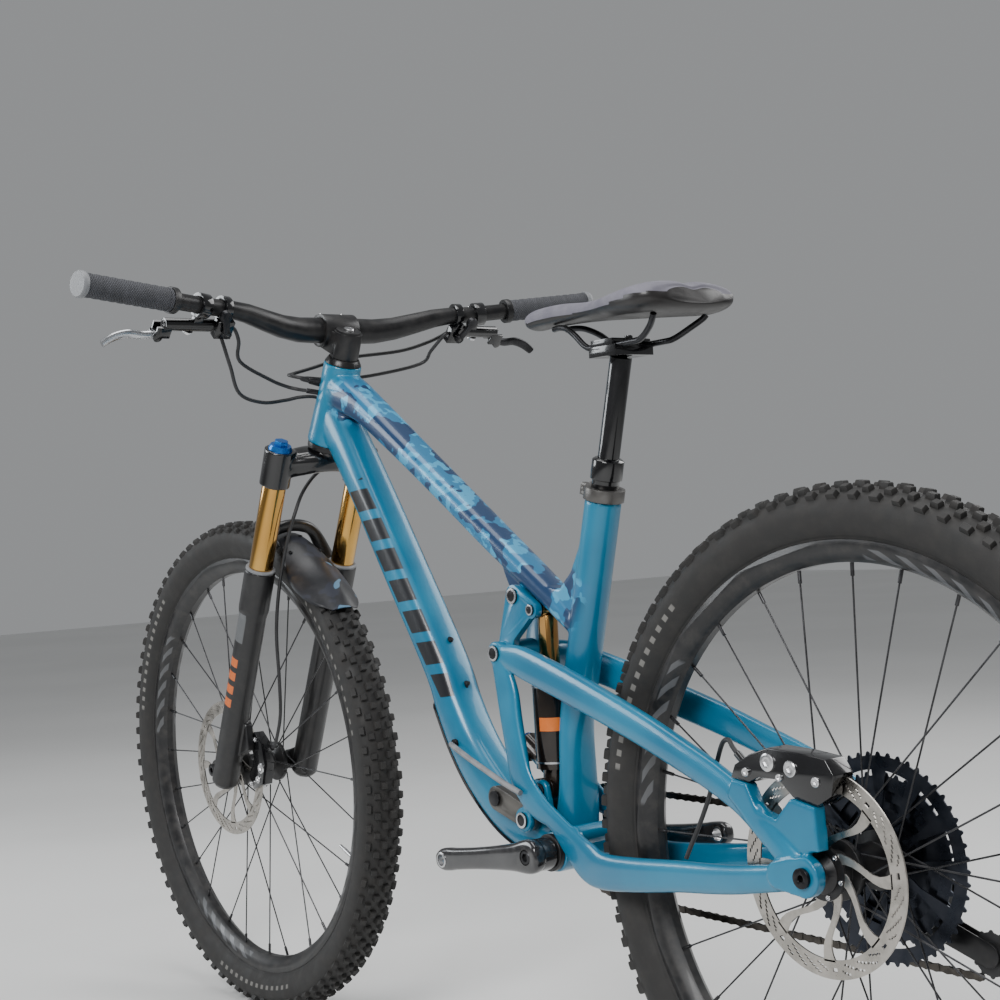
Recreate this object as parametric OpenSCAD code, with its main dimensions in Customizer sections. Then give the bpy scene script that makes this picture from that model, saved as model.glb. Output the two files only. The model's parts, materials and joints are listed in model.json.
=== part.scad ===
// Full-suspension mountain bike. Millimetres, +X forward, +Y to the rider's left, +Z up.
// The origin is on the ground, midway between the two wheel axles.

/* [Wheels] */
// Outer radius of the tyre, over its knobs
tyre_r = 373; // [360:1:378]
// Half of the tyre's width
tyre_half_w = 30.5; // [26:0.5:33]
// Distance between the wheel axles
wheelbase = 1217; // [1190:1:1250]
// Radius of the rim's inner edge
rim_in_r = 294; // [285:1:297]
// Radius of the brake rotors
rotor_r = 101.5; // [90:0.5:110]
// Number of spokes in each wheel
spoke_count = 28; // [20:4:32]

/* [Frame] */
// Bottom bracket centre behind the origin
bb_x = -165; // [-175:1:-155]
// Bottom bracket centre above the ground
bb_z = 336; // [328:1:344]
// Head angle from the ground
head_angle = 65; // [64:0.5:66]
// Length of the head tube
head_len = 116; // [106:1:124]
// Seat tube angle from the ground
seat_angle = 74.5; // [74:0.5:76]
// Height of the top of the seat tube above the ground
seat_top_z = 742; // [730:1:760]
// Outer radius of the seat tube
seat_tube_r = 21; // [19:0.5:23]
// Outer radius of the dropper post's housing
dropper_r = 15.8; // [13.6:0.1:17.45]
// Radius of the dropper post's sliding shaft
shaft_r = 12.5; // [11:0.1:13.5]
// Travel of the dropper post
dropper_travel = 110; // [90:5:115]

/* [Suspension] */
// Radius of the main pivot bolts
pivot_r = 6; // [5:0.5:7]
// Radius of the pivot bolt heads
pivot_head_r = 9.5; // [8:0.5:11]
// Radius of the shock's air can
can_r = 23; // [18:0.5:24]
// Radius of the shock's shaft
damper_r = 12; // [9:0.5:14]
// Travel of the fork
fork_travel = 125; // [100:5:130]
// Radius of the fork's stanchions
stanchion_r = 17; // [16:0.5:18]
// Distance from the bike's centre plane to each stanchion
stanchion_y = 68; // [66:0.5:70]

/* [Drivetrain] */
// Length of the crank arms, bottom bracket to pedal
crank_len = 172.5; // [160:2.5:180]
// Angle of the left crank arm below the horizontal
crank_angle = 8; // [0:1:20]
// Teeth on the chainring
ring_teeth = 32; // [28:1:34]
// Teeth on the sprocket that carries the chain
cog_teeth = 12; // [10:1:14]
// Chain pitch
pitch = 12.7; // [12.7]
// Radius of the crank spindle
spindle_r = 14.5; // [12:0.5:15]

/* [Cockpit] */
// Half of the handlebar's width
bar_half = 400; // [380:5:405]
// Radius of the handlebar at the grips
bar_r = 11.1; // [11.1]
// Radius of the handlebar at the stem
bar_mid_r = 17.5; // [15.9:0.1:17.5]
// Radius of the steerer tube
steerer_r = 14.3; // [14.3]

/* [Hidden] */

run_gap = 0.06;   // radial running clearance of a bearing or bolt
seat_gap = 0.05;  // clearance of a piece pressed or slid into its seat
side_gap = 0.3;   // side clearance between two pieces that turn on each other

// Wheel centres, in side view
rear_axle_x = -wheelbase / 2;
front_axle_x = wheelbase / 2;
axle_z = tyre_r;

// Steering axis
steer_tilt = 90 - head_angle;
fork_offset = 44;             // axle ahead of the steering axis
axle_to_race = 534;           // axle below the crown race, along the axis
leg_offset = 14;              // stanchions ahead of the steering axis
cup_h = 10;                   // lower headset cup below the head tube
race_x = front_axle_x - fork_offset * cos(steer_tilt) - axle_to_race * sin(steer_tilt);
race_z = axle_z - fork_offset * sin(steer_tilt) + axle_to_race * cos(steer_tilt);
head_bottom = cup_h;
head_top = cup_h + head_len;

// Seat axis
seat_tilt = 90 - seat_angle;
seat_top_x = -246;
clamp_h = 14;

// Suspension pivots, in side view
rocker_pivot = [-98.5, 634.5];
rocker_shock = [-132, 618];
rocker_stay = [-77.5, 566.5];
link_front = [-59, 389];
link_rear = [-121, 370];
shock_foot = [-132, 404];

// Lateral planes of the suspension
lug_half = 15.7;              // frame lug inside the rocker
rocker_in = lug_half + side_gap;
rocker_out = 25;
stay_in = 29.6;               // rear triangle outside the rocker
stay_out = 41.5;
core_half = 28;               // half width of the frame between the links
link_in = core_half + side_gap;
link_out = 38;
lug_in = link_out + side_gap;
lug_out = 45.5;
head_t = 2.1;                 // thickness of a pivot bolt's head
loose_gap = 3.5;              // clearance in the rocker's boss, where the linkage is left open
eye_gap = 2;                  // clearance in the shock's upper eye

// Chain line
ring_y = -52;
cog_y = -62.5;
function sprocket_r(teeth) = pitch / (2 * sin(180 / teeth));
ring_r = sprocket_r(ring_teeth);
cog_r = sprocket_r(cog_teeth);
pulley_teeth = 12;
pulley_r = sprocket_r(pulley_teeth);
upper_pulley_at = [-632, 311];
lower_pulley_at = [-706, 287];
plate_in = 1.5;               // inner face of the chain plates from the chain line
wrap_in = 2.15;               // the same on the plates that wrap round a sprocket
plate_t = 0.6;
ring_lead = 0.4;              // a run leaves the chainring this far off its plane
tooth_half = 0.7;             // half thickness of a sprocket
chain_half_h = 4;
roller_seat = 2.9;            // rim of a sprocket under its pitch circle, where the rollers lie

// ---------- shapes ----------

// Superellipse section: half sizes a and b, squareness e, n points
function oval(a, b, e, n) = [for (i = [0 : n - 1])
  let (t = 360 * (i + 0.5) / n, c = cos(t), s = sin(t))
  [a * sign(c) * pow(abs(c), 2 / e), b * sign(s) * pow(abs(s), 2 / e)]];

function unit(v) = v / norm(v);

// Tangent of a path at point i
function tangent(p, i) = unit(p[min(i + 1, len(p) - 1)] - p[max(i - 1, 0)]);

// Solid through rings of points
module skin(rings) {
  n = len(rings[0]);
  m = len(rings);
  polyhedron(
    points = [for (r = rings) each r],
    faces = concat(
      [[for (i = [0 : n - 1]) i]],
      [for (k = [0 : m - 2], i = [0 : n - 1])
        let (a = k * n + i, b = k * n + (i + 1) % n) each [[a, a + n, b + n], [a, b + n, b]]],
      [[for (i = [n - 1 : -1 : 0]) (m - 1) * n + i]]
    )
  );
}

// Tube along points [x, y, z, half width, half height, squareness]; its width follows ref
module tube(pts, ref = [0, 1, 0], n = 16) {
  path = [for (p = pts) [p[0], p[1], p[2]]];
  skin([for (i = [0 : len(pts) - 1])
    let (t = tangent(path, i), w = unit(ref - (ref * t) * t), h = cross(t, w))
    [for (q = oval(pts[i][3], pts[i][4], pts[i][5], n)) path[i] + q[0] * w + q[1] * h]]);
}

// Round cord of radius r through hand-placed points
module cord(pts, r, ref = [0, 1, 0], n = 8) {
  tube([for (p = pts) [p[0], p[1], p[2], r, r, 2]], ref, n);
}

// Tube in the bike's centre plane, from points [x, z, half width, half height, squareness]
function centred(pts) = [for (p = pts) [p[0], 0, p[1], p[2], p[3], p[4]]];
function grown(pts, d) = [for (p = pts) [p[0], p[1], p[2], p[3] + d, p[4] + d, p[5]]];

// Cylinder along Y from y0 to y1, about the side-view point p
module pin(p, r, y0, y1) {
  translate([p[0], y1, p[1]]) rotate([90, 0, 0]) cylinder(h = y1 - y0, r = r, $fn = 48);
}

// Plate along Y between two round ends in side view
module strap(p, rp, q, rq, y0, y1) {
  d = unit(q - p);
  k = [-d[1], d[0]];
  pin(p, rp, y0, y1);
  pin(q, rq, y0, y1);
  translate([0, y1, 0]) rotate([90, 0, 0]) linear_extrude(y1 - y0)
    polygon([p + rp * k, q + rq * k, q - rq * k, p - rp * k]);
}

// Side-view outline given a thickness along Y
module side_plate(outline, y0, y1) {
  translate([0, y1, 0]) rotate([90, 0, 0]) linear_extrude(y1 - y0) polygon(outline);
}

// Rod between two points in space
module rod(a, b, r) {
  d = b - a;
  translate(a) rotate([0, acos(d[2] / norm(d)), atan2(d[1], d[0])])
    cylinder(h = norm(d), r = r, $fn = 24);
}

// Bolt along Y through both sides: shank r, length to y1, and a head on each end
module through_bolt(p, r, y1, r_head) {
  pin(p, r, -y1 - 1, y1 + 1);
  both_sides() pin(p, r_head, y1 + seat_gap, y1 + seat_gap + head_t);
}

module both_sides() {
  children();
  mirror([0, 1, 0]) children();
}

// Solid of revolution about a wheel axle, profile in [radius, y]
module turned(x, z, profile) {
  translate([x, 0, z]) rotate([-90, 0, 0]) rotate_extrude($fn = 96) polygon(profile);
}

// Steering frame: origin at the crown race, Z up the steering axis, X forward
module steered() { translate([race_x, 0, race_z]) rotate([0, -steer_tilt, 0]) children(); }

// Seat frame: origin at the top of the seat tube, Z up its axis
module seated() { translate([seat_top_x, 0, seat_top_z]) rotate([0, -seat_tilt, 0]) children(); }

// ---------- main frame ----------

top_tube = centred([
  [-209, 589, 17, 14, 2.6], [-132, 644, 20, 13.5, 3], [-48, 699, 21, 15, 3.2],
  [52, 767, 22, 15, 3.2], [151, 833, 23, 16, 3.2], [227, 882, 24, 19, 3],
  [271, 905, 26, 25, 2.8], [299, 918, 25, 27, 2.6]
]);
down_tube = centred([
  [318, 890, 24, 30, 2.6], [296, 858, 25, 30, 2.6], [238, 777, 27, 26, 2.8],
  [160, 660, 28, 26, 2.8], [83, 543, 28, 26, 2.8], [59, 492, 28, 27, 2.8],
  [31, 445, 28, 29, 2.8], [-4, 405, 28, 31, 2.8], [-55, 366, 28, 31, 2.8],
  [-115, 344, 28, 28, 2.6], [-172, 336, 28, 22, 2.2]
]);
mast_foot = centred([
  [-187, 530, 20, 20, 2], [-180, 505, 20, 20, 2], [-175, 470, 22, 16, 2.4],
  [-174, 430, 24, 14.5, 2.6], [-172, 395, 26, 16, 2.6], [-166, 362, 27, 22, 2.4],
  [-164, 340, 27, 22, 2.2]
]);
seat_gusset = [[-228, 712], [-214, 690], [-197, 662], [-174, 642], [-150, 646], [-190, 598], [-218, 600]];
foot_in = 17;                 // lugs each side of the shock's lower eye
foot_out = 25.5;
bb_shell_r = 24;
bb_half = 36.5;
bb_bore_r = 18.05;

module front_frame() color("#1586b0") difference() {
  union() {
    tube(top_tube);
    tube(down_tube);
    tube(mast_foot);
    seated() translate([0, 0, -235]) cylinder(h = 235, r = seat_tube_r, $fn = 64);
    side_plate(seat_gusset, -15, 15);
    steered() translate([0, 0, head_bottom]) {
      cylinder(h = 34, r1 = 31, r2 = 29, $fn = 64);
      translate([0, 0, 34]) cylinder(h = head_len - 34, r1 = 29, r2 = 26, $fn = 64);
    }
    pin([bb_x, bb_z], bb_shell_r, -bb_half, bb_half);
    strap(rocker_pivot, 12.5, [-86, 668], 17, -lug_half, lug_half);
    pin(link_front, 15, -core_half, core_half);
    both_sides() strap(shock_foot, 12, [-132, 366], 20, foot_in, foot_out);
  }
  seated() translate([0, 0, -226]) cylinder(h = 230, r = dropper_r + seat_gap, $fn = 64);
  steered() translate([0, 0, head_bottom - 41]) cylinder(h = 41, r = 34, $fn = 64);
  pin(rocker_shock, 12.5, -lug_half, lug_half);
  pin(link_hose_port, 6 + seat_gap, 17, 60);
  steered() translate([0, 0, head_bottom - 1]) {
    cylinder(h = head_len + 2, r = 20, $fn = 64);
    cylinder(h = 21, r = 24 + seat_gap, $fn = 64);
    translate([0, 0, head_len - 19]) cylinder(h = 22, r = 22 + seat_gap, $fn = 64);
  }
  pin([bb_x, bb_z], bb_bore_r, -60, 60);
  pin(rocker_pivot, pivot_r + run_gap, -40, 40);
  pin(link_front, 9.5 + run_gap, -40, 40);
  pin(shock_foot, pivot_r + seat_gap, -40, 40);
  for (p = bottle_bolts) bottle_placed(p) translate([0, 0, -12]) cylinder(h = 20, r = 2.5 + seat_gap, $fn = 24);
  for (k = [0 : 2]) port_placed(k) translate([0, 0, -8]) cylinder(h = 30, r = port_r + seat_gap, $fn = 24);
}

// Bottle cage bolts on the down tube's upper face, and its slope there
bottle_bolts = [[72, 574.75, 56.6], [40.81, 519.66, 64.8]];
bottle_head_r = 3.9;
bottle_face = 0.7;            // head of the bolt above the tube's face
module bottle_placed(p) { translate([p[0], 0, p[1]]) rotate([0, p[2] - 90, 0]) children(); }

// Hose ports round the left of the head tube: height up the axis and angle from straight ahead
port_r = 3.6;
ports = [[96, 62], [79, 62], [88, 40]];
port_base = 27;
port_tip = 43;
module port_placed(k) {
  steered() translate([0, 0, ports[k][0]]) rotate([0, 0, ports[k][1]]) translate([port_base, 0, 0])
    rotate([0, 90, 0]) children();
}

guard_path = [for (i = [4 : 9]) down_tube[i]];

module down_tube_guard() color("#1b1c1e") intersection() {
  difference() {
    tube(grown(guard_path, 3));
    tube(grown(down_tube, 0.3));
  }
  side_plate([[120, 520], [60, 470], [0, 372], [-50, 338], [-96, 318], [-60, 290], [60, 320], [160, 480]],
    -24, 24);
}

module headset_cups() color("#141416") {
  steered() {
    difference() {
      union() {
        translate([0, 0, 2]) cylinder(h = cup_h - 2 - seat_gap, r = 29, $fn = 64);
        translate([0, 0, 4]) cylinder(h = cup_h + 14, r = 24, $fn = 64);
      }
      translate([0, 0, -1]) cylinder(h = 40, r = 19 + run_gap, $fn = 64);
    }
    difference() {
      union() {
        translate([0, 0, head_top - 16]) cylinder(h = 18, r = 22, $fn = 64);
        translate([0, 0, head_top + seat_gap]) cylinder(h = 8, r1 = 25.5, r2 = 21, $fn = 64);
      }
      translate([0, 0, head_top - 40]) cylinder(h = 80, r = steerer_r + run_gap, $fn = 64);
    }
  }
}

module seat_clamp() color("#6f6a66") seated() {
  difference() {
    union() {
      translate([0, 0, 0.05]) cylinder(h = clamp_h, r = seat_tube_r + 2.5, $fn = 64);
      translate([seat_tube_r - 2, -9, 0.05]) cube([13, 18, clamp_h]);
    }
    translate([0, 0, -1]) cylinder(h = clamp_h + 2, r = dropper_r + seat_gap, $fn = 64);
    translate([14, -1, -1]) cube([30, 2, clamp_h + 2]);
    translate([seat_tube_r + 6, -20, clamp_h / 2]) rotate([-90, 0, 0]) cylinder(h = 40, r = 2.6, $fn = 24);
  }
  translate([seat_tube_r + 6, -12, clamp_h / 2]) rotate([-90, 0, 0]) {
    cylinder(h = 3 - seat_gap, r = 4.5, $fn = 24);
    cylinder(h = 22, r = 2.5, $fn = 24);
  }
}

module bottom_bracket() color("#1a1a1c") both_sides() difference() {
  union() {
    pin([bb_x, bb_z], bb_bore_r - seat_gap, 18, bb_half);
    pin([bb_x, bb_z], 22, bb_half + seat_gap, 44);
  }
  pin([bb_x, bb_z], spindle_r + run_gap, 0, 60);
}

module dropper_housing() color("#17181a") seated() difference() {
  union() {
    translate([0, 0, -216]) cylinder(h = 250, r = dropper_r, $fn = 64);
    translate([0, 0, 24]) cylinder(h = 22, r = dropper_r + 2.6, $fn = 64);
    translate([0, 0, 46]) cylinder(h = 2.5, r1 = dropper_r + 2.6, r2 = dropper_r - 1, $fn = 64);
  }
  translate([0, 0, -212]) cylinder(h = 300, r = shaft_r + run_gap, $fn = 64);
}

// Cable sleeves on the head tube, bottle bolts, the shock's lower bolt and the hose clip
link_hose_port = [33, 448];     // where the rear brake hose leaves the down tube
module frame_fittings() color("#2a2a2c") {
  through_bolt(shock_foot, pivot_r, foot_out, 8);
  for (p = bottle_bolts) bottle_placed(p) {
    translate([0, 0, -11]) cylinder(h = 12, r = 2.5, $fn = 24);
    translate([0, 0, bottle_face]) cylinder(h = 3, r = bottle_head_r, $fn = 24);
  }
  for (k = [0 : 2]) port_placed(k) translate([0, 0, -6]) cylinder(h = port_tip - port_base + 6, r = port_r, $fn = 24);
  pin(link_hose_port, 6, 19, 31);
}

module chain_ring_wrap() color("#4a4743") {
  both_plates(ring_y, wrap_in) arc_band([bb_x, bb_z], ring_r, -85, 85);
  wrap_rollers([bb_x, bb_z], ring_teeth, ring_y, -85, 85);
}

// ---------- lower link ----------

module lower_link() color("#4d4b4a") difference() {
  union() {
    pin(link_front, 9.5, -link_in - 1, link_in + 1);
    both_sides() strap(link_front, 15, link_rear, 14, link_in, link_out);
  }
  both_sides() {
    pin(link_front, 5 + seat_gap, 20, 60);
    pin(link_rear, pivot_r + seat_gap, 20, 60);
  }
}

module lower_link_bolts() color("#26262a") both_sides() {
  pin(link_front, 5, 22, link_out + 1);
  pin(link_front, pivot_head_r, link_out + seat_gap, link_out + 3);
  pin(link_rear, pivot_r, link_in, lug_out + 1);
  pin(link_rear, pivot_head_r, lug_out + side_gap, lug_out + side_gap + head_t);
}

// ---------- rear triangle ----------

chainstay = [
  [-80, 35.5, 558, 5.8, 14, 2.4], [-93, 36.5, 521, 6.6, 19, 2.6], [-101, 38.5, 488, 7.5, 18, 2.6],
  [-110, 40.5, 453, 7, 18, 2.6], [-121, 43.2, 418, 4.8, 20, 2.6], [-146, 43.2, 392, 4.8, 18, 2.6],
  [-178, 43.4, 376, 5, 13, 2.6], [-210, 43.4, 352, 5, 19, 2.6], [-238, 44, 334, 5.6, 24, 2.6],
  [-270, 46.5, 328, 7.5, 21, 2.6], [-330, 51, 333, 8.5, 19, 2.6], [-400, 57, 342, 8.5, 17, 2.6],
  [-455, 63, 348, 8, 16, 2.6], [-500, 69.5, 354, 7.5, 15, 2.6], [-545, 75, 362, 7.5, 14, 2.6],
  [-596, 80.5, 371, 6, 13, 2.6]
];
seatstay = [
  [-84, 35.5, 565, 5.8, 12, 2.4], [-125, 37.5, 557, 7.5, 19, 2.6], [-195, 43, 540, 9, 20, 2.6],
  [-285, 49.5, 515, 9.5, 19, 2.6], [-360, 56, 493, 9.5, 18, 2.6], [-420, 61, 473, 9.5, 17, 2.6],
  [-472, 66, 455, 8.5, 16, 2.6], [-520, 71, 434, 8, 15, 2.6], [-560, 75, 407, 7.5, 15, 2.6],
  [-594, 80.5, 380, 6, 13, 2.6]
];
dropout_in = 74;
dropout_out = 87;
axle_bore_r = 6;
dropout_outline = [[-570, 352], [-600, 346], [-622, 352], [-628, 368], [-624, 390], [-596, 402], [-566, 384]];
brake_post = [[-505, 441], [-512, 458], [-532, 455], [-545, 430], [-570, 424], [-590, 446], [-621, 440],
  [-624, 398], [-580, 392], [-545, 405]];

module rear_triangle() color("#1788b2") difference() {
  union() {
    both_sides() {
      tube(chainstay, n = 12);
      tube(seatstay, n = 12);
      pin(rocker_stay, 14, stay_in, stay_out);
      pin(link_rear, 15, lug_in, lug_out);
      side_plate(dropout_outline, dropout_in, dropout_out);
    }
    pin([-213, 361], 11.5, -44, 44);
    side_plate(brake_post, dropout_in - 9, dropout_out - 6);
  }
  both_sides() {
    pin(rocker_stay, 5 + seat_gap, 20, 60);
    pin(link_rear, pivot_r + run_gap, 30, 60);
  }
  pin([rear_axle_x, axle_z], axle_bore_r + seat_gap, -100, 100);
}

module rear_axle() color("#202022") {
  difference() {
    union() {
      pin([rear_axle_x, axle_z], axle_bore_r, -90, 90);
      pin([rear_axle_x, axle_z], 10, dropout_out + seat_gap, 91);
    }
    pin([rear_axle_x, axle_z], 3.5, -95, 95);
  }
}

caliper_outline = [[-508, 458.6], [-532, 455.4], [-546, 462], [-574, 462], [-591, 446.5], [-621, 440.4], [-640, 452],
  [-644, 472], [-634, 486], [-600, 490], [-560, 492], [-535, 484], [-514, 472]];
module rear_caliper() color("#101012") difference() {
  union() {
    side_plate(caliper_outline, 49, 77);
    rod([-516, 62, 470], [-503, 62, 481], 4);
  }
  pin([rear_axle_x, axle_z], rotor_r + 3, 55.5, 61.5);
}

hanger_bolt = [-632, 335];
cage_pin_r = 5;
cage_out = cog_y - 6;         // outer face of the cage
module derailleur_body() color("#2b2b2d") {
  difference() {
    side_plate([[-598, 366], [-622, 366], [-644, 352], [-646, 332], [-632, 322], [-612, 334]], -95, -dropout_out - seat_gap);
    pin([rear_axle_x, axle_z], 11, -100, 0);
  }
  difference() {
    strap(hanger_bolt, 12.5, upper_pulley_at, 14, -dropout_out, cage_out - side_gap);
    pin(upper_pulley_at, cage_pin_r + run_gap, -dropout_out - 1, 0);
  }
}

module rear_pivot_bolts() color("#26262a") through_bolt(rocker_stay, 5, stay_out, pivot_head_r);

// ---------- chain ----------

// Plane band that follows an arc of a sprocket; angles are anticlockwise from +X seen from -Y
module arc_band(p, r, a0, a1) {
  steps = 16;
  function at(rad, i) = p + rad * [cos(a0 + (a1 - a0) * i / steps), sin(a0 + (a1 - a0) * i / steps)];
  polygon(concat([for (i = [0 : steps]) at(r + chain_half_h, i)],
    [for (i = [steps : -1 : 0]) at(r - chain_half_h, i)]));
}

// Both rows of link plates of a chain that runs in the plane y
module both_plates(y, inner) {
  for (s = [inner, -inner - plate_t])
    translate([0, y + s + plate_t, 0]) rotate([90, 0, 0]) linear_extrude(plate_t) children();
}

roller_r = 2.6;
// Rollers of a chain that lies round a sprocket, in its tooth gaps
module wrap_rollers(p, teeth, y, a0, a1) {
  step = 360 / teeth;
  for (a = [a0 + step : step : a1 - step / 2])
    pin(p + sprocket_r(teeth) * [cos(a), sin(a)], roller_r, y - wrap_in - plate_t, y + wrap_in + plate_t);
}

run_end = 38;                 // stretch without rollers where a run meets its sprocket
// Straight stretch of chain between two points in space: plates with rollers between them
module run(a, b) {
  d = b - a;
  length = norm(d);
  links = floor((length - run_end) / pitch);
  translate(a) rotate([0, 0, atan2(d[1], d[0])]) rotate([0, -asin(d[2] / length), 0]) {
    for (s = [plate_in, -plate_in - plate_t])
      translate([0, s, -chain_half_h]) cube([length, plate_t, 2 * chain_half_h]);
    for (i = [3 : 2 : links])
      translate([i * pitch, plate_in + plate_t, 0]) rotate([90, 0, 0])
        cylinder(h = 2 * (plate_in + plate_t), r = roller_r, $fn = 16);
  }
}

ring_top = [bb_x, ring_y + ring_lead, bb_z + ring_r];
ring_bottom = [bb_x, ring_y + ring_lead, bb_z - ring_r];
cog_top = [rear_axle_x, cog_y, axle_z + cog_r];
pulley_bottom = [lower_pulley_at[0], cog_y, lower_pulley_at[1] - pulley_r];

module chain_upper_run() color("#4a4743") run(ring_top, cog_top);
module chain_lower_run() color("#4a4743") run(ring_bottom, pulley_bottom);

module chain_cog_wrap() color("#4a4743") {
  both_plates(cog_y, wrap_in) arc_band([rear_axle_x, axle_z], cog_r, 112, 268);
  wrap_rollers([rear_axle_x, axle_z], cog_teeth, cog_y, 112, 268);
}

// ---------- rocker and shock ----------

module rocker_link() color("#1788b2") difference() {
  union() {
    both_sides() {
      strap(rocker_pivot, 13, rocker_stay, 14, rocker_in, rocker_out);
      strap(rocker_pivot, 13, rocker_shock, 10.5, rocker_in, rocker_out);
      side_plate([rocker_pivot, rocker_shock + [2, -9], rocker_stay + [-10, 8]], rocker_in, rocker_out);
    }
    pin(rocker_stay, 14, -stay_in + side_gap, stay_in - side_gap);
  }
  pin(rocker_pivot, pivot_r + seat_gap, -40, 40);
  pin(rocker_shock, 4 + seat_gap, -40, 40);
  pin(rocker_stay, 5 + loose_gap, -40, 40);
}

module rocker_bolts() color("#26262a") {
  through_bolt(rocker_pivot, pivot_r, rocker_out, pivot_head_r);
  through_bolt(rocker_shock, 4, rocker_out, 6.5);
}

module shock_can() color("#1c1a19") difference() {
  union() {
    pin(shock_foot, 14, -16.5, 16.5);
    translate([shock_foot[0], 0, shock_foot[1]]) {
      translate([0, 0, 4]) cylinder(h = 22, r = 15.5, $fn = 48);
      translate([0, 0, 24]) cylinder(h = 104, r = can_r, $fn = 64);
      translate([0, 0, 128]) cylinder(h = 9, r = can_r - 3, $fn = 64);
      translate([10, 0, 24]) rotate([0, 55, 0]) cylinder(h = 50, r = 12, $fn = 48);
      translate([40, -4, 36]) rotate([0, 55, 0]) cube([10, 22, 5]);
    }
  }
  pin(shock_foot, pivot_r + run_gap, -40, 40);
  translate([shock_foot[0], 0, shock_foot[1] + 30]) cylinder(h = 140, r = damper_r + run_gap, $fn = 48);
}

module shock_shaft() color("#8a5a2b") difference() {
  union() {
    translate([rocker_shock[0], 0, shock_foot[1] + 66]) cylinder(h = 140, r = damper_r, $fn = 48);
    pin(rocker_shock, 10.5, -13, 13);
  }
  pin(rocker_shock, 4 + eye_gap, -40, 40);
}

// ---------- derailleur ----------

module derailleur_cage() color("#232326") {
  for (y = [cage_out, cog_y + 4.5]) strap(upper_pulley_at, 13, lower_pulley_at, 12, y, y + 1.5);
  pin(upper_pulley_at, 2.5, cage_out, cog_y + 6);
  pin(lower_pulley_at, 2.5, cage_out, cog_y + 6);
  pin(upper_pulley_at, cage_pin_r, -dropout_out + 1, cage_out);
}

module pulley(p) {
  difference() {
    pin(p, pulley_r + 2, cog_y - tooth_half, cog_y + tooth_half);
    pin(p, 2.5 + run_gap, cog_y - 5, cog_y + 5);
  }
}
module upper_pulley() color("#2a2a2c") pulley(upper_pulley_at);
module lower_pulley() color("#2a2a2c") pulley(lower_pulley_at);

// ---------- wheels ----------

bead_r = 316;
tyre_profile = let (w = tyre_half_w, r = tyre_r, b = bead_r) [
  [b - 4, 13.9], [b + 1.6, 13.9], [b + 1.6, 17.6], [b + 4, 20.5], [b + 14, w - 3], [b + 26, w - 0.5], [r - 18, w], [r - 10, w - 1],
  [r - 3, w - 9], [r, 8],
  [r, -8], [r - 3, 9 - w], [r - 10, 1 - w], [r - 18, -w], [b + 26, 0.5 - w], [b + 14, 3 - w], [b + 4, -20.5],
  [b + 1.6, -17.6], [b + 1.6, -13.9], [b - 4, -13.9],
  [b - 4, -10.5], [b + 4, -13], [b + 15, 8 - w], [b + 27, 4 - w], [r - 18, 5 - w], [r - 9, -10],
  [r - 9, 10], [r - 18, w - 5], [b + 27, w - 4], [b + 15, w - 8], [b + 4, 13], [b - 4, 10.5]
];
rim_profile = [
  [bead_r + 1, 17.4], [bead_r + 1, 14], [bead_r - 4.3, 14], [bead_r - 6, 9], [bead_r - 8, 7],
  [bead_r - 8, -7], [bead_r - 6, -9], [bead_r - 4.3, -14], [bead_r + 1, -14], [bead_r + 1, -17.4],
  [bead_r - 6, -17.4], [bead_r - 15, -14], [rim_in_r, -5], [rim_in_r, 5], [bead_r - 15, 14],
  [bead_r - 6, 17.4]
];

module tyre(x) turned(x, axle_z, tyre_profile);
module rim(x) turned(x, axle_z, rim_profile);

// Crossed spokes between two hub flanges and the rim: lean is how far each one turns round the hub
spoke_lean = 34;
spoke_r = 1;
nipple_r = 2;
module spokes(x, left_y, right_y, flange_r) {
  for (side = [0, 1], k = [0 : spoke_count / 2 - 1]) {
    y = side == 0 ? left_y : right_y;
    turn = k % 2 == 0 ? 1 : -1;
    rim_a = 360 * (2 * k + side) / spoke_count;
    hub_a = rim_a + turn * spoke_lean;
    hub_pt = [x + flange_r * cos(hub_a), y + turn * 2.4, axle_z + flange_r * sin(hub_a)];
    rim_rad = rim_in_r - 0.8;
    rim_pt = [x + rim_rad * cos(rim_a), sign(y) * 2.5, axle_z + rim_rad * sin(rim_a)];
    knee = rim_pt + 13 * unit(hub_pt - rim_pt);
    rod(hub_pt, knee, spoke_r);
    rod(knee, rim_pt, nipple_r);
  }
}

module hub(x, profile) turned(x, axle_z, profile);

// Brake rotor: braking ring, slanted arms and centre carrier
module rotor(x, y, arms) {
  translate([x, y + 0.9, axle_z]) rotate([90, 0, 0]) linear_extrude(1.8) difference() {
    union() {
      difference() {
        circle(r = rotor_r, $fn = 96);
        circle(r = rotor_r - 15, $fn = 96);
      }
      for (i = [0 : arms - 1]) rotate(360 * i / arms)
        polygon([[19, -5], [rotor_r - 10, 34], [rotor_r - 10, 42], [19, 5]]);
      circle(r = 27, $fn = 64);
    }
    circle(r = 20 + seat_gap, $fn = 64);
  }
}

module rear_tyre() color("#232323") tyre(rear_axle_x);
module rear_rim() color("#19191a") rim(rear_axle_x);
module rear_spokes() color("#3a3a3c") spokes(rear_axle_x, 35.5, -19, 31);
module rear_hub() color("#141416") {
  hub(rear_axle_x, [[6.05, 73.9], [11, 73.9], [11, 66], [20, 62], [20, 40], [30, 39], [30, 32], [25, 30], [19, 25],
    [19, -12], [30, -16], [30, -22], [18, -23], [16.8, -23.1], [16.8, -69], [12, -70], [11, -73.9], [6.05, -73.9]]);
}
module rear_rotor() color("#a8a5a0") rotor(rear_axle_x, 58, 8);

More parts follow.
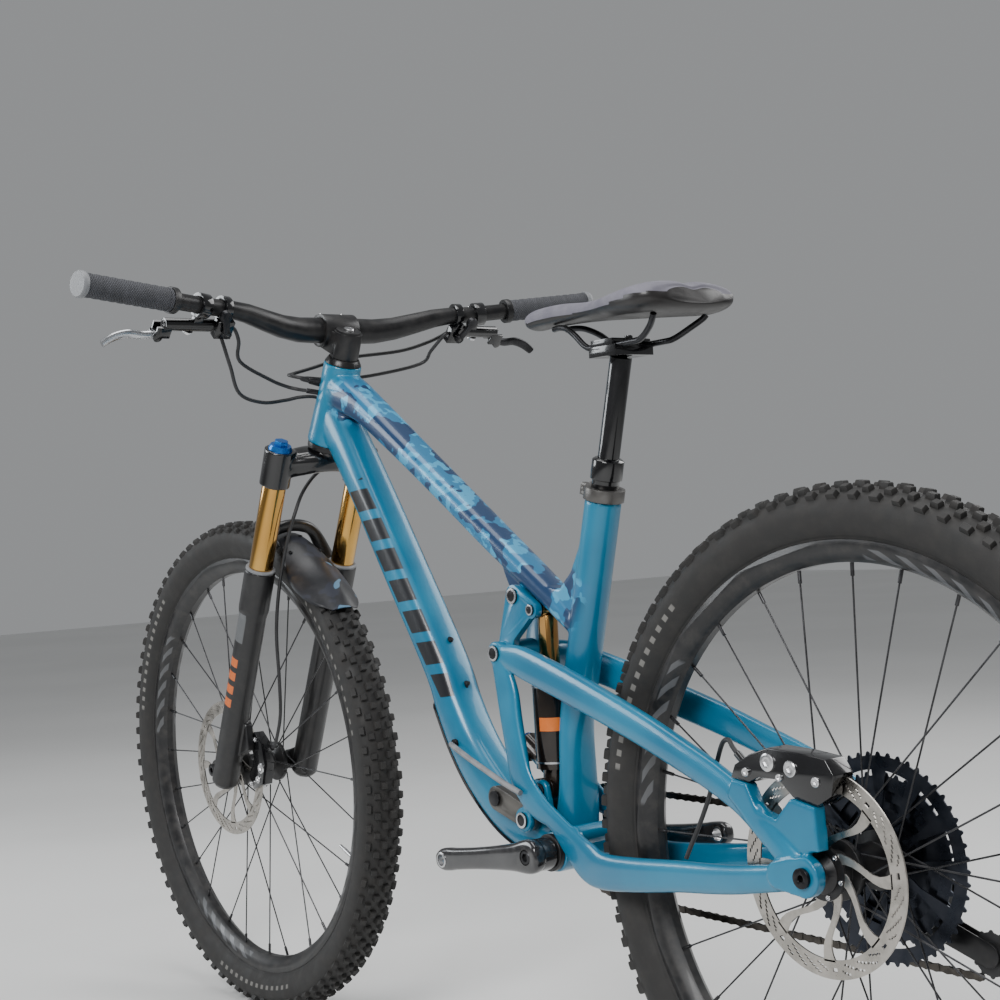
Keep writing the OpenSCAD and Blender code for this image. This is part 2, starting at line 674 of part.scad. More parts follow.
module front_tyre() color("#232323") tyre(front_axle_x);
module front_rim() color("#19191a") rim(front_axle_x);
module front_spokes() color("#3a3a3c") spokes(front_axle_x, 25, -35, 31);
module front_hub() color("#141416") {
  hub(front_axle_x, [[7.56, 54.8], [12, 54.8], [12, 51], [20, 49], [20, 33], [30, 28], [30, 22], [16, 16],
    [15, -26], [30, -32], [30, -38], [18, -44], [12, -48], [12, -54.8], [7.56, -54.8]]);
}
module front_rotor() color("#a8a5a0") rotor(front_axle_x, 46, 8);

cog_list = [52, 42, 36, 32, 28, 24, 21, 18, 16, 14, 12, 10];
cog_step = (cog_y + 26) / 10;
module cassette() color("#202124") difference() {
  union() {
    for (i = [0 : len(cog_list) - 1])
      let (teeth = cog_list[i], r = sprocket_r(teeth) + (teeth == cog_teeth ? -roller_seat : 1.5), y = -26 + i * cog_step)
        pin([rear_axle_x, axle_z], r, y - tooth_half, y + tooth_half);
    pin([rear_axle_x, axle_z], 19, -67.2, -24);
  }
  pin([rear_axle_x, axle_z], 16.8 + run_gap, -80, 0);
  for (i = [0 : 11]) rotate_about(30 * i) pin([rear_axle_x + 92, axle_z], 6, -30, -20);
}
module rotate_about(a) {
  translate([rear_axle_x, 0, axle_z]) rotate([0, a, 0]) translate([-rear_axle_x, 0, -axle_z]) children();
}

// ---------- cranks ----------

module crank_placed(a) { translate([bb_x, 0, bb_z]) rotate([0, a, 0]) children(); }
arm_in = 62;
arm_out = 80;
pedal_thread_r = 7.14;

// Crank arm along +X from the spindle, lying between y0 and y1
module arm(y0, y1) {
  strap([0, 0], 20, [crank_len, 0], 14.5, y0, y1);
}

module left_crank() color("#232324") crank_placed(crank_angle) {
  difference() {
    union() {
      arm(arm_in, arm_out);
      pin([0, 0], 19, 46, arm_in);
    }
    pin([0, 0], spindle_r + seat_gap, 0, arm_out - 6);
    pin([0, 0], 9, 60, 90);
    pin([crank_len, 0], pedal_thread_r, 50, 100);
  }
  pin([0, 0], 9 - seat_gap, arm_out - 5, arm_out - 1);
}

module drive_crank() color("#232324") crank_placed(crank_angle + 180) difference() {
  union() {
    arm(-arm_out, -arm_in);
    pin([0, 0], 19, -arm_in, -56);
    pin([0, 0], spindle_r, -arm_in, arm_out - 6.5);
  }
  pin([0, 0], 11, -100, arm_out);
  pin([crank_len, 0], pedal_thread_r, -100, -50);
}

module chainring() color("#1a1a1c") crank_placed(crank_angle) difference() {
  union() {
    pin([0, 0], ring_r - roller_seat, ring_y - tooth_half, ring_y + tooth_half);
    pin([0, 0], 26, -55.9, ring_y + tooth_half);
  }
  pin([0, 0], spindle_r + seat_gap, -80, -40);
  for (i = [0 : 5]) rotate([0, 60 * i, 0]) pin([43, 0], 11, -60, -45);
}

// ---------- fork and steering ----------

crown_bottom = -58;
seal_z = -188;
leg_bottom = -543;
stanchion_end = -330;
steerer_top = 170;
crown_path = [
  [leg_offset, -stanchion_y, -32, 17, 14, 2.6], [11, -48, -24, 20, 13, 2.8], [4, -24, -15, 26, 13, 2.8],
  [2, 0, -13, 28, 13, 2.8],
  [4, 24, -15, 26, 13, 2.8], [11, 48, -24, 20, 13, 2.8], [leg_offset, stanchion_y, -32, 17, 14, 2.6]
];

module fork_crown() color("#121214") steered() difference() {
  union() {
    tube(crown_path, [1, 0, 0], 12);
    both_sides() translate([leg_offset, stanchion_y, crown_bottom]) cylinder(h = 53, r = stanchion_r + 4.5, $fn = 64);
    translate([0, 0, -20]) cylinder(h = 21.6, r = 24, $fn = 64);
    cylinder(h = 24, r = 19, $fn = 64);
    translate([0, 0, 24]) cylinder(h = 40, r1 = 19, r2 = steerer_r, $fn = 64);
    cylinder(h = steerer_top, r = steerer_r, $fn = 64);
  }
  both_sides() translate([leg_offset, stanchion_y, crown_bottom - 1])
    cylinder(h = 60, r = stanchion_r + seat_gap, $fn = 64);
  translate([0, 0, -60]) cylinder(h = 240, r = 11, $fn = 48);
}

module fork_stanchions() color("#a8742a") steered() both_sides() translate([leg_offset, stanchion_y, 0]) {
  translate([0, 0, stanchion_end]) cylinder(h = -stanchion_end - 6, r = stanchion_r, $fn = 64);
  translate([0, 0, -8]) cylinder(h = 9, r = 14, $fn = 48);
  translate([0, 0, -1]) cylinder(h = 6, r = 9, $fn = 48);
}

arch_path = [
  [22, 64, -216, 9, 15, 2.4], [44, 56, -186, 8, 12, 2.4], [54, 36, -153, 7, 9, 2.4], [56, 14, -142, 7, 9, 2.4],
  [56, -14, -142, 7, 9, 2.4], [54, -36, -153, 7, 9, 2.4], [44, -56, -186, 8, 12, 2.4], [22, -64, -216, 9, 15, 2.4]
];
hub_face = 55;
front_axle_local = [fork_offset, -axle_to_race];

module fork_lowers() color("#161618") steered() difference() {
  union() {
    both_sides() {
      translate([leg_offset, stanchion_y, seal_z - 62]) cylinder(h = 62, r = stanchion_r + 5, $fn = 64);
      translate([leg_offset, stanchion_y, leg_bottom + 6]) cylinder(h = seal_z - leg_bottom - 60, r = stanchion_r + 3, $fn = 64);
      translate([leg_offset, stanchion_y, leg_bottom]) cylinder(h = 7, r1 = 15, r2 = stanchion_r + 3, $fn = 64);
      strap(front_axle_local, 15, [leg_offset + 8, leg_bottom + 24], 18, hub_face + 0.3, hub_face + 14);
    }
    tube(arch_path, [1, 0, 0], 12);
    side_plate([[10, -420], [10, -500], [-26, -462], [-10, -430]], 52, 64);
  }
  both_sides() translate([leg_offset, stanchion_y, leg_bottom + 70])
    cylinder(h = 400, r = stanchion_r + 0.09, $fn = 64);
  pin(front_axle_local, 7.5 + seat_gap, -100, 100);
}

module front_axle() color("#202022") steered() difference() {
  union() {
    pin(front_axle_local, 7.5, -74, 74);
    pin(front_axle_local, 9.5, hub_face + 14.1, 77);
  }
  pin(front_axle_local, 4, -80, 80);
}

module front_caliper() color("#101012") steered() difference() {
  union() {
    side_plate([[-14, -440], [-40, -446], [-58, -470], [-62, -502], [-42, -522], [-22, -508], [-29, -480], [-12, -450]],
      35, 51.7);
    rod([-44, 40, -458], [-54, 40, -446], 4);
  }
  pin(front_axle_local, rotor_r + 2, 43.5, 48.5);
}

guard_axle = [fork_offset, -axle_to_race];
guard_r = tyre_r + 6;
guard_crown = 0.012;          // how fast the strip curls down towards its sides
// Mudguard over the tyre behind the arch: a crowned strip bent about the wheel's axle
guard_angles = [87, 93, 99, 105, 111, 115];
guard_half = [22, 30, 42, 46, 38, 20];
function guard_point(k, u, drop) = let (a = guard_angles[k], y = guard_half[k] * u, r = guard_r - guard_crown * y * y - drop)
  [guard_axle[0] + r * cos(a), y, guard_axle[1] + r * sin(a)];
module mudguard() color("#1c1d20") steered() skin([for (k = [0 : len(guard_angles) - 1])
  concat([for (j = [-5 : 5]) guard_point(k, j / 5, 1.6)], [for (j = [5 : -1 : -5]) guard_point(k, j / 5, 0)])]);

// ---------- cockpit ----------

bar_at = [33, 161.5];          // bar centre in the steering frame, ahead and up
bar_flat = 45;                // half of the straight stretch in the stem
bar_rise = 33;
bar_bend_end = 200;           // where the rise ends
function bar_local(y) = let (a = abs(y), past = max(a - bar_flat, 0), out = max(a - bar_bend_end, 0),
  rise = bar_rise * (1 - cos(180 * min(past / (bar_bend_end - bar_flat), 1))) / 2 + 0.16 * out)
  [bar_at[0] - 0.118 * past, y, bar_at[1] + rise];
function bar_rad(y) = let (a = abs(y)) a < 50 ? bar_mid_r : a < 190 ? bar_mid_r - (bar_mid_r - bar_r) * (a - 50) / 140 : bar_r;
bar_stations = [-bar_half, -330, -262, -211, -180, -150, -120, -90, -60, -40, 40, 60, 90, 120, 150, 180, 211, 262, 330, bar_half];

module handlebar() color("#1a1a1b") steered()
  tube([for (y = bar_stations) let (c = bar_local(y), r = bar_rad(y)) [c[0], c[1], c[2], r, r, 2]], [1, 0, 0], 20);

grip_in = 262;
grip_dir = unit(bar_local(bar_half) - bar_local(grip_in));
module along_grip() {
  p = bar_local(grip_in);
  translate(p) rotate([-90, 0, 0]) rotate([0, asin(grip_dir[0]), 0]) rotate([asin(grip_dir[2]), 0, 0]) children();
}
grip_len = norm(bar_local(bar_half) - bar_local(grip_in));

module grips() color("#2c2d30") steered() both_sides() along_grip() difference() {
  union() {
    cylinder(h = grip_len + 3, r = 15.2, $fn = 48);
    cylinder(h = 9, r = 17, $fn = 48);
    translate([0, 0, grip_len - 4]) cylinder(h = 7, r = 17, $fn = 48);
  }
  translate([0, 0, -1]) cylinder(h = grip_len + 1.6, r = bar_r + 0.5, $fn = 48);
}

module stem() color("#141416") steered() difference() {
  union() {
    translate([0, 0, head_top + 8.2]) cylinder(h = 36, r = 19.5, $fn = 64);
    translate([0, -20, head_top + 12]) cube([bar_at[0], 40, 30]);
    pin(bar_at, bar_mid_r + 5, -26, 26);
    translate([0, 0, head_top + 44]) cylinder(h = 3, r = 17, $fn = 64);
  }
  translate([0, 0, 0]) cylinder(h = head_top + 44, r = steerer_r + seat_gap, $fn = 64);
  pin(bar_at, bar_mid_r + seat_gap, -30, 30);
}

// Lever frame: origin on the bar's axis, X towards the lever, Y outward, Z along the lever's pivot
control_y = 220;
control_tilt = 71;
module control_side(s) { steered() mirror([0, s < 0 ? 1 : 0, 0]) children(); }
module in_control() { translate(bar_local(control_y)) rotate([0, control_tilt, 0]) children(); }
module control_placed(s) { control_side(s) in_control() children(); }
lever_pivot = [47, 52, 0];
lever_pin_r = 2.5;
ear_z = 5.3;                  // inner face of the lever's ears
ear_t = 3.7;
master_x = 31;
band_r = 16.2;                // outer radius of a clamp band
pod_y = -34;                  // shifter and dropper remote, inboard of the brake clamp
paddle_pivot = [27, pod_y, -24];
paddle_face = -17;            // underside of the remote, over its paddle

// Straight stretch of the bar about the distance y from the middle
module bar_band(y, half, r) { rod(bar_local(y - half), bar_local(y + half), r); }

// Brake master cylinders with their bar clamps and lever ears, and the two remotes' bodies
module bar_controls() color("#131315") for (s = [-1, 1]) control_side(s) {
  difference() {
    union() {
      bar_band(control_y, 7, band_r);
      in_control() {
        translate([bar_r + 2, -6, -5]) cube([12, 12, 10]);
        translate([master_x, 45, 0]) rotate([90, 0, 0]) cylinder(h = 72, r = 8.5, $fn = 48);
        for (z = [-ear_z - ear_t, ear_z]) {
          translate([lever_pivot[0], lever_pivot[1], z]) cylinder(h = ear_t, r = 6, $fn = 32);
          translate([master_x, 36, z]) cube([lever_pivot[0] - master_x, 20, ear_t]);
        }
      }
    }
    bar_band(control_y, 20, bar_r + 0.6);
  }
  in_control() translate([lever_pivot[0], lever_pivot[1], -ear_z - ear_t]) cylinder(h = 2 * (ear_z + ear_t), r = lever_pin_r, $fn = 24);
  difference() {
    union() {
      bar_band(control_y + pod_y, 5, band_r);
      in_control() {
        translate([8, pod_y - 5, -16]) cube([12, 10, 12]);
        translate([14, pod_y - 12, paddle_face]) cube([26, 24, 12]);
      }
    }
    bar_band(control_y + pod_y, 20, bar_r + 1.3);
  }
  in_control() translate([paddle_pivot[0], paddle_pivot[1], -27]) cylinder(h = 10.5, r = lever_pin_r, $fn = 24);
}

blade_path = [
  [47, 56, 0, 5, 4.5, 2.4], [49, 72, 0, 6, 4.2, 2.4], [48, 90, 1, 6.5, 3.6, 2.4],
  [52, 108, -1, 6.5, 3.4, 2.4], [60, 124, -5, 5.5, 4, 2.2]
];
module blade(s) control_placed(s) difference() {
  union() {
    translate([lever_pivot[0], lever_pivot[1], -5]) cylinder(h = 10, r = 6, $fn = 32);
    tube(blade_path, [1, 0, 0], 10);
  }
  translate([lever_pivot[0], lever_pivot[1], -20]) cylinder(h = 40, r = lever_pin_r + run_gap, $fn = 24);
}
module left_brake_lever() color("#b9bcc0") blade(1);
module right_brake_lever() color("#161618") blade(-1);

module paddle(s) control_placed(s) translate([paddle_pivot[0], paddle_pivot[1], -27]) difference() {
  union() {
    cylinder(h = 6.5, r = 6, $fn = 32);
    rotate([0, 0, 160]) translate([0, -4, 0]) cube([30, 8, 4]);
    rotate([0, 0, 160]) translate([30, 0, 0]) cylinder(h = 6, r = 8, $fn = 32);
  }
  translate([0, 0, -1]) cylinder(h = 10, r = lever_pin_r + run_gap, $fn = 24);
}
module shift_paddle() color("#161618") paddle(-1);
module dropper_paddle() color("#161618") paddle(1);

// ---------- saddle ----------

head_at = 164;                // saddle clamp height above the seat tube's top
rail_up = 10.5;               // rail centres above the clamp's base
rail_r = 3.5;
rail_y = 22;
head_origin = [seat_top_x - head_at * sin(seat_tilt), 0, seat_top_z + head_at * cos(seat_tilt)];
module rail_bores(r) {
  for (y = [-rail_y, rail_y]) translate([-40, y, rail_up]) rotate([0, 90, 0]) cylinder(h = 80, r = r, $fn = 24);
}
// Sliding shaft with the saddle clamp's base, its top yoke and its two bolts
module dropper_shaft() color("#121214") {
  seated() difference() {
    translate([0, 0, -98]) cylinder(h = head_at + 96, r = shaft_r, $fn = 64);
    translate([0, 0, -99]) cylinder(h = head_at + 86, r = shaft_r - 2.5, $fn = 48);
  }
  translate(head_origin) difference() {
    union() {
      translate([-22, -28, -1]) cube([44, 56, rail_up + 0.9]);
      translate([-18, -28, rail_up + 0.1]) cube([36, 56, 7]);
    }
    rail_bores(rail_r + seat_gap);
    for (x = [-14, 14]) translate([x, 0, -9]) cylinder(h = 40, r = 2.5 + seat_gap, $fn = 24);
  }
  translate(head_origin) for (x = [-14, 14]) {
    translate([x, 0, 0]) cylinder(h = rail_up + 8, r = 2.5, $fn = 24);
    translate([x, 0, rail_up + 7.1 + seat_gap]) cylinder(h = 3, r = 4.5, $fn = 24);
  }
}

saddle_nose_x = -137;
rail_z = head_origin[2] + rail_up;
module saddle_rails() color("#151517") both_sides() {
  cord([[-186, 9, 941.2], [-200, 12, 941.2], [-216, 15, 938], [-236, 20, 928], [-256, rail_y, rail_z + 3], [-272, rail_y, rail_z],
    [-335, rail_y, rail_z], [-352, 24, rail_z + 2], [-372, 30, 922], [-384, 36, 929.5], [-388, 38, 933.6]], rail_r, [0, 1, 0], 12);
}

saddle_path = [
  [saddle_nose_x, 952, 12, 7, 2.2], [-144, 955, 17, 11, 2.4], [-165, 957, 20, 12, 2.6], [-205, 957, 22, 12, 2.6],
  [-250, 954, 27, 11, 2.6], [-290, 952, 40, 12, 2.6], [-330, 951, 56, 15, 2.6], [-365, 950, 67, 18, 2.6],
  [-392, 950, 69, 18, 2.6], [-408, 950, 60, 14, 2.4], [-413, 951, 40, 9, 2.2]
];
// Hollow under the saddle, where the rails rise into it
saddle_hollow = centred([[-220, 930, 14, 11, 2.6], [-300, 928, 34, 15, 2.6], [-360, 928, 54, 14, 2.6], [-396, 929, 50, 10, 2.6]]);
module saddle() color("#7d7a8c") difference() {
  tube(centred(saddle_path), n = 20);
  tube(saddle_hollow, n = 16);
}

// ---------- hoses and cables ----------

hose_r = 2.5;

// Points in the steering frame: brake hose round the head tube, and three hoses to the ports on its left
bar_hose_routes = [
  [[24, 192.2, 168], [24, 187, 167], [26, 178, 151], [12, 166, 116], [12, 146, 78], [20, 104, 62], [34, 60, 60], [46, 30, 60],
   [50, 0, 58], [46, -26, 44], [40, -38, 28], [36.6, -38.2, 18], [36, -38, 8]],
  [[10, 173.2, 168], [10.2, 168.5, 167], [14, 158, 150], [20, 148, 120], [34, 90, 90], [34, 62, 80], [26, 49, 79], [20.5, 38.4, 79]],
  [[24, -192.2, 168], [24.4, -187, 167.5], [30, -160, 150], [38, -116, 132], [54, -38, 115], [60, 10, 98], [56, 44, 90], [40, 56, 94],
   [26, 50, 96], [20.5, 38.4, 96]],
  [[10, -173.2, 168], [10.3, -168.5, 167], [18, -156, 140], [29, -149, 116], [40, -75, 94], [50, -20, 85], [52, 20, 86], [42, 35, 88],
   [33.3, 27.9, 88]]
];
module bar_hoses() color("#18181a") steered() for (route = bar_hose_routes) cord(route, hose_r, [0, 0, 1]);

front_hose = [[36, -38, 7.7], [36, -37.6, -2], [37, -36, -14], [35, -24, -38], [24, 2, -54], [6, 26, -70], [-10, 42, -92], [-15, 50, -130],
  [-16, 51, -200], [-24, 48, -270], [-46, 44, -335], [-62, 42, -385], [-62, 41, -425], [-58.5, 40.2, -440], [-54.3, 40, -445.6]];
module front_brake_hose() color("#18181a") steered() cord(front_hose, hose_r, [0, 1, 0]);

// Rear brake hose: from the frame over the lower link, and from the stay up to the caliper
link_hose_route = [[33, 35, 448], [10, 42, 444], [-20, 48, 437], [-56, 52, 427], [-94, 52.5, 414], [-128, 52, 404]];
rear_hose = [[-414, 56, 362.5], [-420, 54, 376], [-432, 51, 400], [-448, 50, 432], [-462, 51, 466], [-476, 55, 488],
  [-489, 59, 492.5], [-496, 61, 487], [-502.8, 62, 481.2]];
module link_hose() color("#8c8f94") cord(link_hose_route, hose_r + 1, [0, 1, 0]);
module rear_brake_hose() color("#18181a") cord(rear_hose, hose_r, [0, 1, 0]);

front_frame();
down_tube_guard();
headset_cups();
seat_clamp();
bottom_bracket();
dropper_housing();
frame_fittings();
chain_ring_wrap();
lower_link();
lower_link_bolts();
rear_triangle();
rear_axle();
rear_caliper();
derailleur_body();
rear_pivot_bolts();
chain_cog_wrap();
rear_brake_hose();
link_hose();
rocker_link();
rocker_bolts();
shock_can();
shock_shaft();
derailleur_cage();
upper_pulley();
lower_pulley();
rear_tyre();
rear_rim();
rear_spokes();
rear_hub();
rear_rotor();
cassette();
left_crank();
drive_crank();
chainring();
chain_upper_run();
chain_lower_run();
fork_crown();
fork_stanchions();
stem();
handlebar();
grips();
bar_controls();
bar_hoses();
left_brake_lever();
right_brake_lever();
shift_paddle();
dropper_paddle();
fork_lowers();
front_axle();
front_caliper();
mudguard();
front_brake_hose();
front_tyre();
front_rim();
front_spokes();
front_hub();
front_rotor();
dropper_shaft();
saddle();
saddle_rails();
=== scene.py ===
import json
import math
import bpy
import bmesh
from mathutils import Matrix, Vector


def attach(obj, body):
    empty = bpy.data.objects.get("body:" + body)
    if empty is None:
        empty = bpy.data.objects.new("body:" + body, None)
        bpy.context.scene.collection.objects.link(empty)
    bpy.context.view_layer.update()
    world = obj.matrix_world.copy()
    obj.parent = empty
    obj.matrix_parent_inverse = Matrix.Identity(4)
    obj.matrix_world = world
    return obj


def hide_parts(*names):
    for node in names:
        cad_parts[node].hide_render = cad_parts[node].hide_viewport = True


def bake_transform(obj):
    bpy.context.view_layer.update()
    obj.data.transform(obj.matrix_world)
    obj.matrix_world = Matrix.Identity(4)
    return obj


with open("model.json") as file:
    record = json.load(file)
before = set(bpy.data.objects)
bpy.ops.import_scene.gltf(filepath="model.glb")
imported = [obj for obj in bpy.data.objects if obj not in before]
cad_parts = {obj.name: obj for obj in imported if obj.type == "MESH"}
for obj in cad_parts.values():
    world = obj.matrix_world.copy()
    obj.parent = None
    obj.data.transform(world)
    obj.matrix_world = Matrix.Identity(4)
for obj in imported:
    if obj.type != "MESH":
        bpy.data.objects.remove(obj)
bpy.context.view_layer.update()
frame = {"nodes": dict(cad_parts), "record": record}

mm = 0.001
nodes = frame["nodes"]
record = frame["record"]
bodyOf = {n: b for b, members in record["behaviour"]["bodies"].items() for n in members}

# Steering frame: origin at the crown race, n forward and a up the steering axis
headTilt = math.radians(25)
nDir = Vector((math.cos(headTilt), 0, math.sin(headTilt)))
aDir = Vector((-math.sin(headTilt), 0, math.cos(headTilt)))
rearAxle = Vector((-608.5, 0, 373))
frontAxle = Vector((608.5, 0, 373))
race = frontAxle - nDir * 44 + aDir * 534
bracket = Vector((-165, 0, 336))
seatTilt = math.radians(15.5)
seatUp = Vector((-math.sin(seatTilt), 0, math.cos(seatTilt)))
seatFwd = Vector((math.cos(seatTilt), 0, math.sin(seatTilt)))
seatTop = Vector((-246, 0, 742))


def steered(n, y, a):
    return race + nDir * n + aDir * a + Vector((0, y, 0))


def seated(x, y, z):
    return seatTop + seatFwd * x + seatUp * z + Vector((0, y, 0))


# Mesh tools, all in millimetres until makePiece

def oval(a, b, e, sides):
    out = []
    for i in range(sides):
        t = 2 * math.pi * i / sides
        c, s = math.cos(t), math.sin(t)
        out.append((a * math.copysign(abs(c) ** (2 / e), c), b * math.copysign(abs(s) ** (2 / e), s)))
    return out


def spline(stations, steps):
    # Catmull-Rom through stations of any width
    out = []
    last = len(stations) - 1
    for i in range(last):
        p0, p1, p2, p3 = (stations[max(i - 1, 0)], stations[i], stations[i + 1], stations[min(i + 2, last)])
        for k in range(steps):
            t = k / steps
            out.append([0.5 * (2 * b + (c - a) * t + (2 * a - 5 * b + 4 * c - d) * t * t
                               + (3 * b - a - 3 * c + d) * t * t * t) for a, b, c, d in zip(p0, p1, p2, p3)])
    out.append(list(stations[-1]))
    return out


def skin(rings, closed=False):
    n = len(rings[0])
    verts = [tuple(v) for ring in rings for v in ring]
    faces = []
    count = len(rings)
    for k in range(count if closed else count - 1):
        for i in range(n):
            j = (i + 1) % n
            k2 = (k + 1) % count
            faces.append((k * n + i, k * n + j, k2 * n + j, k2 * n + i))
    if not closed:
        faces.append(tuple(range(n - 1, -1, -1)))
        faces.append(tuple((count - 1) * n + i for i in range(n)))
    return verts, faces


def tube(stations, ref=(0, 1, 0), sides=32, steps=6):
    # stations [x, y, z, half width along ref, half height, squareness]
    path = spline(stations, steps) if steps > 1 else [list(s) for s in stations]
    ref = Vector(ref)
    rings = []
    for i, s in enumerate(path):
        before, after = path[max(i - 1, 0)], path[min(i + 1, len(path) - 1)]
        t = (Vector(after[:3]) - Vector(before[:3])).normalized()
        w = (ref - t * ref.dot(t)).normalized()
        h = t.cross(w)
        rings.append([Vector(s[:3]) + w * u + h * v for u, v in oval(s[3], s[4], s[5], sides)])
    return skin(rings)


def cord(points, r, ref=(0, 1, 0), sides=14, steps=6):
    return tube([list(p) + [r, r, 2] for p in points], ref, sides, steps)


def axes(direction):
    d = Vector(direction).normalized()
    side = Vector((0, 0, 1)) if abs(d.z) < 0.9 else Vector((1, 0, 0))
    u = side.cross(d).normalized()
    return d, u, d.cross(u)


def turned(base, direction, profile, sides=48, closed=False):
    # profile [radius, along] about an axis
    d, u, v = axes(direction)
    base = Vector(base)
    rings = [[base + d * h + (u * math.cos(2 * math.pi * i / sides) + v * math.sin(2 * math.pi * i / sides)) * r
              for i in range(sides)] for r, h in profile]
    return skin(rings, closed)


def rod(a, b, r, r2=None, sides=32):
    a, b = Vector(a), Vector(b)
    return turned(a, b - a, [(r, 0), (r if r2 is None else r2, (b - a).length)], sides)


def pin(p, r, y0, y1, sides=40):
    return rod((p[0], y0, p[1]), (p[0], y1, p[1]), r, None, sides)


def prism(outline, y0, y1):
    # side-view outline given a thickness along Y
    return skin([[(x, y0, z) for x, z in outline], [(x, y1, z) for x, z in outline]])


def strap(p, rp, q, rq, y0, y1, sides=20):
    p, q = Vector((p[0], p[1])), Vector((q[0], q[1]))
    a = math.atan2(q.y - p.y, q.x - p.x)
    outline = []
    for centre, r, start in ((q, rq, a - math.pi / 2), (p, rp, a + math.pi / 2)):
        for i in range(sides + 1):
            t = start + math.pi * i / sides
            outline.append((centre.x + r * math.cos(t), centre.y + r * math.sin(t)))
    return prism(outline, y0, y1)


def mirrored(part):
    verts, faces = part
    return [(v[0], -v[1], v[2]) for v in verts], [tuple(reversed(f)) for f in faces]


def bothSides(part):
    return [part, mirrored(part)]


def bolt(at, direction, r, h, socket=0.45, sides=24):
    # cap screw head with a six-sided socket
    d, u, v = axes(direction)
    at = Vector(at)

    def ring(radius, along, six=False):
        out = []
        for i in range(sides):
            t = 2 * math.pi * i / sides
            k = 1.0
            if six:
                k = math.cos(math.pi / 6) / math.cos((t % (math.pi / 3)) - math.pi / 6)
            out.append(at + d * along + (u * math.cos(t) + v * math.sin(t)) * radius * k)
        return out
    key = r * socket
    return skin([ring(r, 0), ring(r, h * 0.7), ring(r * 0.88, h), ring(key * 1.12, h), ring(key, h - 0.2, True),
                 ring(key, h * 0.35, True)])


def joined(parts):
    verts, faces = [], []
    for v, f in parts:
        base = len(verts)
        verts += list(v)
        faces += [tuple(i + base for i in face) for face in f]
    return verts, faces


def meshFrom(name, part):
    verts, faces = part
    mesh = bpy.data.meshes.new(name)
    mesh.from_pydata([(v[0] * mm, v[1] * mm, v[2] * mm) for v in verts], [], faces)
    bm = bmesh.new()
    bm.from_mesh(mesh)
    bmesh.ops.recalc_face_normals(bm, faces=bm.faces)
    bm.to_mesh(mesh)
    bm.free()
    return mesh


def looseObject(name, part):
    obj = bpy.data.objects.new(name, meshFrom(name, part))
    bpy.context.scene.collection.objects.link(obj)
    return obj


def applied(obj):
    deps = bpy.context.evaluated_depsgraph_get()
    mesh = bpy.data.meshes.new_from_object(obj.evaluated_get(deps))
    obj.modifiers.clear()
    obj.data = mesh
    return obj


def cutBy(obj, parts, how="DIFFERENCE"):
    for part in parts:
        tool = looseObject("tool", part)
        mod = obj.modifiers.new("cut", "BOOLEAN")
        mod.object = tool
        mod.operation = how
        mod.solver = "MANIFOLD"
        applied(obj)
        bpy.data.objects.remove(tool)
    return obj


def fused(obj, voxel, rounds):
    mod = obj.modifiers.new("remesh", "REMESH")
    mod.mode = "VOXEL"
    mod.voxel_size = voxel * mm
    soft = obj.modifiers.new("soft", "SMOOTH")
    soft.factor = 0.5
    soft.iterations = rounds
    return applied(obj)


def placed(obj, body, material, stands=(), angle=35):
    obj.data.shade_smooth()
    obj.data.set_sharp_from_angle(angle=math.radians(angle))
    obj.data.materials.clear()
    obj.data.materials.append(material)
    if body:
        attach(obj, body)
    if stands:
        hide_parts(*stands)
    return obj


def makePiece(name, part, body, material, stands=(), angle=35):
    return placed(looseObject(name, part), body, material, stands, angle)


def softened(node, material, width=0.6, angle=35):
    # the node's own shape with its edges broken, in place of the plain one
    source = nodes[node]
    obj = bpy.data.objects.new(node.replace("_", "") + "Soft", source.data.copy())
    bpy.context.scene.collection.objects.link(obj)
    bm = bmesh.new()
    bm.from_mesh(obj.data)
    bmesh.ops.remove_doubles(bm, verts=bm.verts, dist=1e-6)
    bmesh.ops.dissolve_limit(bm, angle_limit=math.radians(1.2), verts=bm.verts, edges=bm.edges)
    bm.to_mesh(obj.data)
    bm.free()
    mod = obj.modifiers.new("edges", "BEVEL")
    mod.width = width * mm
    mod.segments = 2
    mod.limit_method = "ANGLE"
    mod.angle_limit = math.radians(40)
    applied(obj)
    return placed(obj, bodyOf[node], material, (node,), angle)


# Materials

def nodeGroup(name, inputs, outputs):
    group = bpy.data.node_groups.new(name, "ShaderNodeTree")
    for label, kind, value in inputs:
        socket = group.interface.new_socket(name=label, in_out="INPUT", socket_type=kind)
        socket.default_value = value
    for label, kind in outputs:
        group.interface.new_socket(name=label, in_out="OUTPUT", socket_type=kind)
    return group, group.nodes.new("NodeGroupInput"), group.nodes.new("NodeGroupOutput")


def mixColour(tree, factor, first, second):
    mix = tree.nodes.new("ShaderNodeMix")
    mix.data_type = "RGBA"
    for socket, value in ((mix.inputs[0], factor), (mix.inputs[6], first), (mix.inputs[7], second)):
        feed(tree, socket, value)
    return mix.outputs[2]


def feed(tree, socket, value):
    if isinstance(value, bpy.types.NodeSocket):
        tree.links.new(value, socket)
    elif isinstance(value, (tuple, list)) and len(value) == 3 and socket.type == "RGBA":
        socket.default_value = (*value, 1)
    else:
        socket.default_value = value


def calc(tree, operation, first, second=None, third=None):
    node = tree.nodes.new("ShaderNodeMath")
    node.operation = operation
    for socket, value in zip(node.inputs, (first, second, third)):
        if value is not None:
            feed(tree, socket, value)
    return node.outputs[0]


def times(tree, first, second):
    return calc(tree, "MULTIPLY", first, second)


def fraction(tree, value):
    return calc(tree, "FRACT", value)


def ramp(tree, value, low, high):
    node = tree.nodes.new("ShaderNodeMapRange")
    node.interpolation_type = "SMOOTHSTEP"
    feed(tree, node.inputs[0], value)
    node.inputs[1].default_value = low
    node.inputs[2].default_value = high
    return node.outputs[0]


